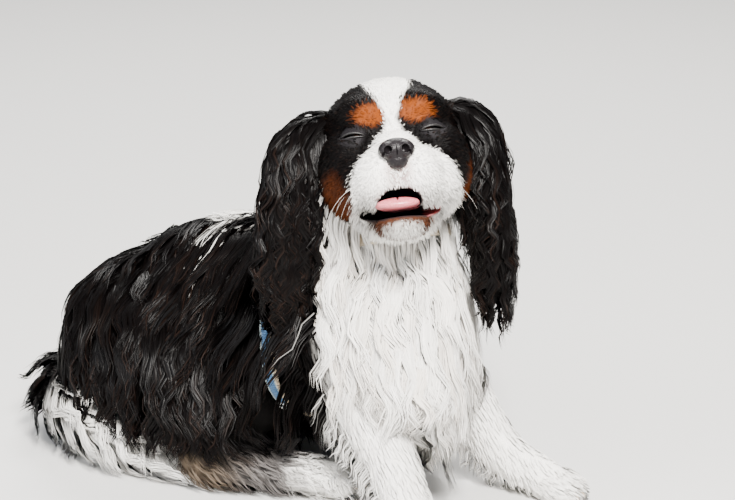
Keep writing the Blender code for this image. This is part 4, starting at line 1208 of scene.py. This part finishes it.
# The harness's cord. A thin beige cord of two twisted strands is sewn along the front edge of the girth
# strap, with a pale slider ring low on the dog's right side.

twisted = []
for strand_turn in (0, math.pi):
    line = []
    for step in range(96 * 5 + 1):
        at = step / 5
        index, share = int(at) % 96, at - int(at)
        centre = runs["girth_strap"][index][0].lerp(runs["girth_strap"][(index + 1) % 96][0], share)
        ray = runs["girth_strap"][index][1]
        turn = strand_turn + at * 2 * math.pi * 0.9
        line.append(centre + Vector((0.0072, 0, 0)) + ray * (0.0008 + 0.0009 * math.cos(turn)) + Vector((0.0009 * math.sin(turn), 0, 0)))
    twisted.append(cord_mesh("strand", line, np.full(len(line), 0.0011), 6))
cord = together("girth_cord", twisted)
cord_uv = cord.data.uv_layers.new(name="OFBake")
for loop in cord.data.loops:
    cord_uv.data[loop.index].uv = (loop.vertex_index / len(cord.data.vertices) * 8, (loop.vertex_index % 6) / 6)
cord.data.materials.append(beige_tape)
put(cord)

ring_at = min(range(96), key=lambda k: abs(runs["girth_strap"][k][0].z - 0.082) + (1 if runs["girth_strap"][k][0].y > 0 else 0))
centre, ray = runs["girth_strap"][ring_at]
down = (runs["girth_strap"][(ring_at + 1) % 96][0] - centre).normalized()
line = []
for step in range(25):
    turn = 2 * math.pi * step / 24
    line.append(centre + Vector((1, 0, 0)) * (0.0085 * math.cos(turn)) + down * (0.0045 * math.sin(turn)) + ray * 0.0022)
slider = together("slider_ring", [cord_mesh("ring", line, np.full(25, 0.0010), 8)])
pale_metal = bpy.data.materials.new("pale metal")
pale_metal.use_nodes = True
nodes, links = pale_metal.node_tree.nodes, pale_metal.node_tree.links
nodes["Principled BSDF"].inputs["Metallic"].default_value = 0.6
place = nodes.new("ShaderNodeTexCoord")
worn = nodes.new("ShaderNodeTexNoise")
worn.inputs["Scale"].default_value = 500
links.new(place.outputs["Object"], worn.inputs["Vector"])
tint = nodes.new("ShaderNodeValToRGB")
tint.color_ramp.elements[0].color = (0.45, 0.44, 0.42, 1)
tint.color_ramp.elements[1].color = (0.80, 0.79, 0.76, 1)
links.new(worn.outputs["Fac"], tint.inputs["Fac"])
links.new(tint.outputs["Color"], nodes["Principled BSDF"].inputs["Base Color"])
nodes["Principled BSDF"].inputs["Roughness"].default_value = 0.35
slider.data.materials.append(pale_metal)
put(slider)

# The floor, the light and the camera. A plain pale floor in soft studio light, seen from the
# photograph's side, a little above the dog's back.

bpy.ops.mesh.primitive_plane_add(size=14)
floor = bpy.context.object
floor.name = "floor"
paper = bpy.data.materials.new("pale floor")
paper.use_nodes = True
paper.node_tree.nodes["Principled BSDF"].inputs["Base Color"].default_value = (0.58, 0.575, 0.56, 1)
paper.node_tree.nodes["Principled BSDF"].inputs["Roughness"].default_value = 0.8
floor.data.materials.append(paper)

world = bpy.context.scene.world or bpy.data.worlds.new("studio")
bpy.context.scene.world = world
world.use_nodes = True
world.node_tree.nodes["Background"].inputs["Color"].default_value = (0.94, 0.96, 1.0, 1)
world.node_tree.nodes["Background"].inputs["Strength"].default_value = 0.42
target = Vector((0.083, -0.0526, 0.2132)) + origin
for name, place, size, power, tint in (
    ("key", (1.3, -1.3, 1.9), 0.7, 380, (1.0, 0.97, 0.93)),
    ("fill", (-1.2, -1.9, 1.2), 1.6, 60, (0.93, 0.96, 1.0)),
    ("rim", (-0.9, 1.4, 1.8), 1.0, 90, (1.0, 0.98, 0.95)),
):
    lamp = bpy.data.lights.new(name, "AREA")
    lamp.size = size
    lamp.energy = power
    lamp.color = tint
    holder = bpy.data.objects.new(name, lamp)
    bpy.context.scene.collection.objects.link(holder)
    holder.location = target + Vector(place)
    holder.rotation_euler = (-Vector(place)).to_track_quat("-Z", "Y").to_euler()

azimuth, elevation, distance = math.radians(34), math.radians(17), 2.2
back = Vector((math.sin(azimuth) * math.cos(elevation), -math.cos(azimuth) * math.cos(elevation), math.sin(elevation)))
camera = bpy.data.objects.new("camera", bpy.data.cameras.new("camera"))
bpy.context.scene.collection.objects.link(camera)
camera.location = target + back * distance
camera.rotation_euler = back.to_track_quat("Z", "Y").to_euler()
camera.data.sensor_width = 36
camera.data.lens = 36 * (distance / 0.0008) / 735
bpy.context.scene.camera = camera
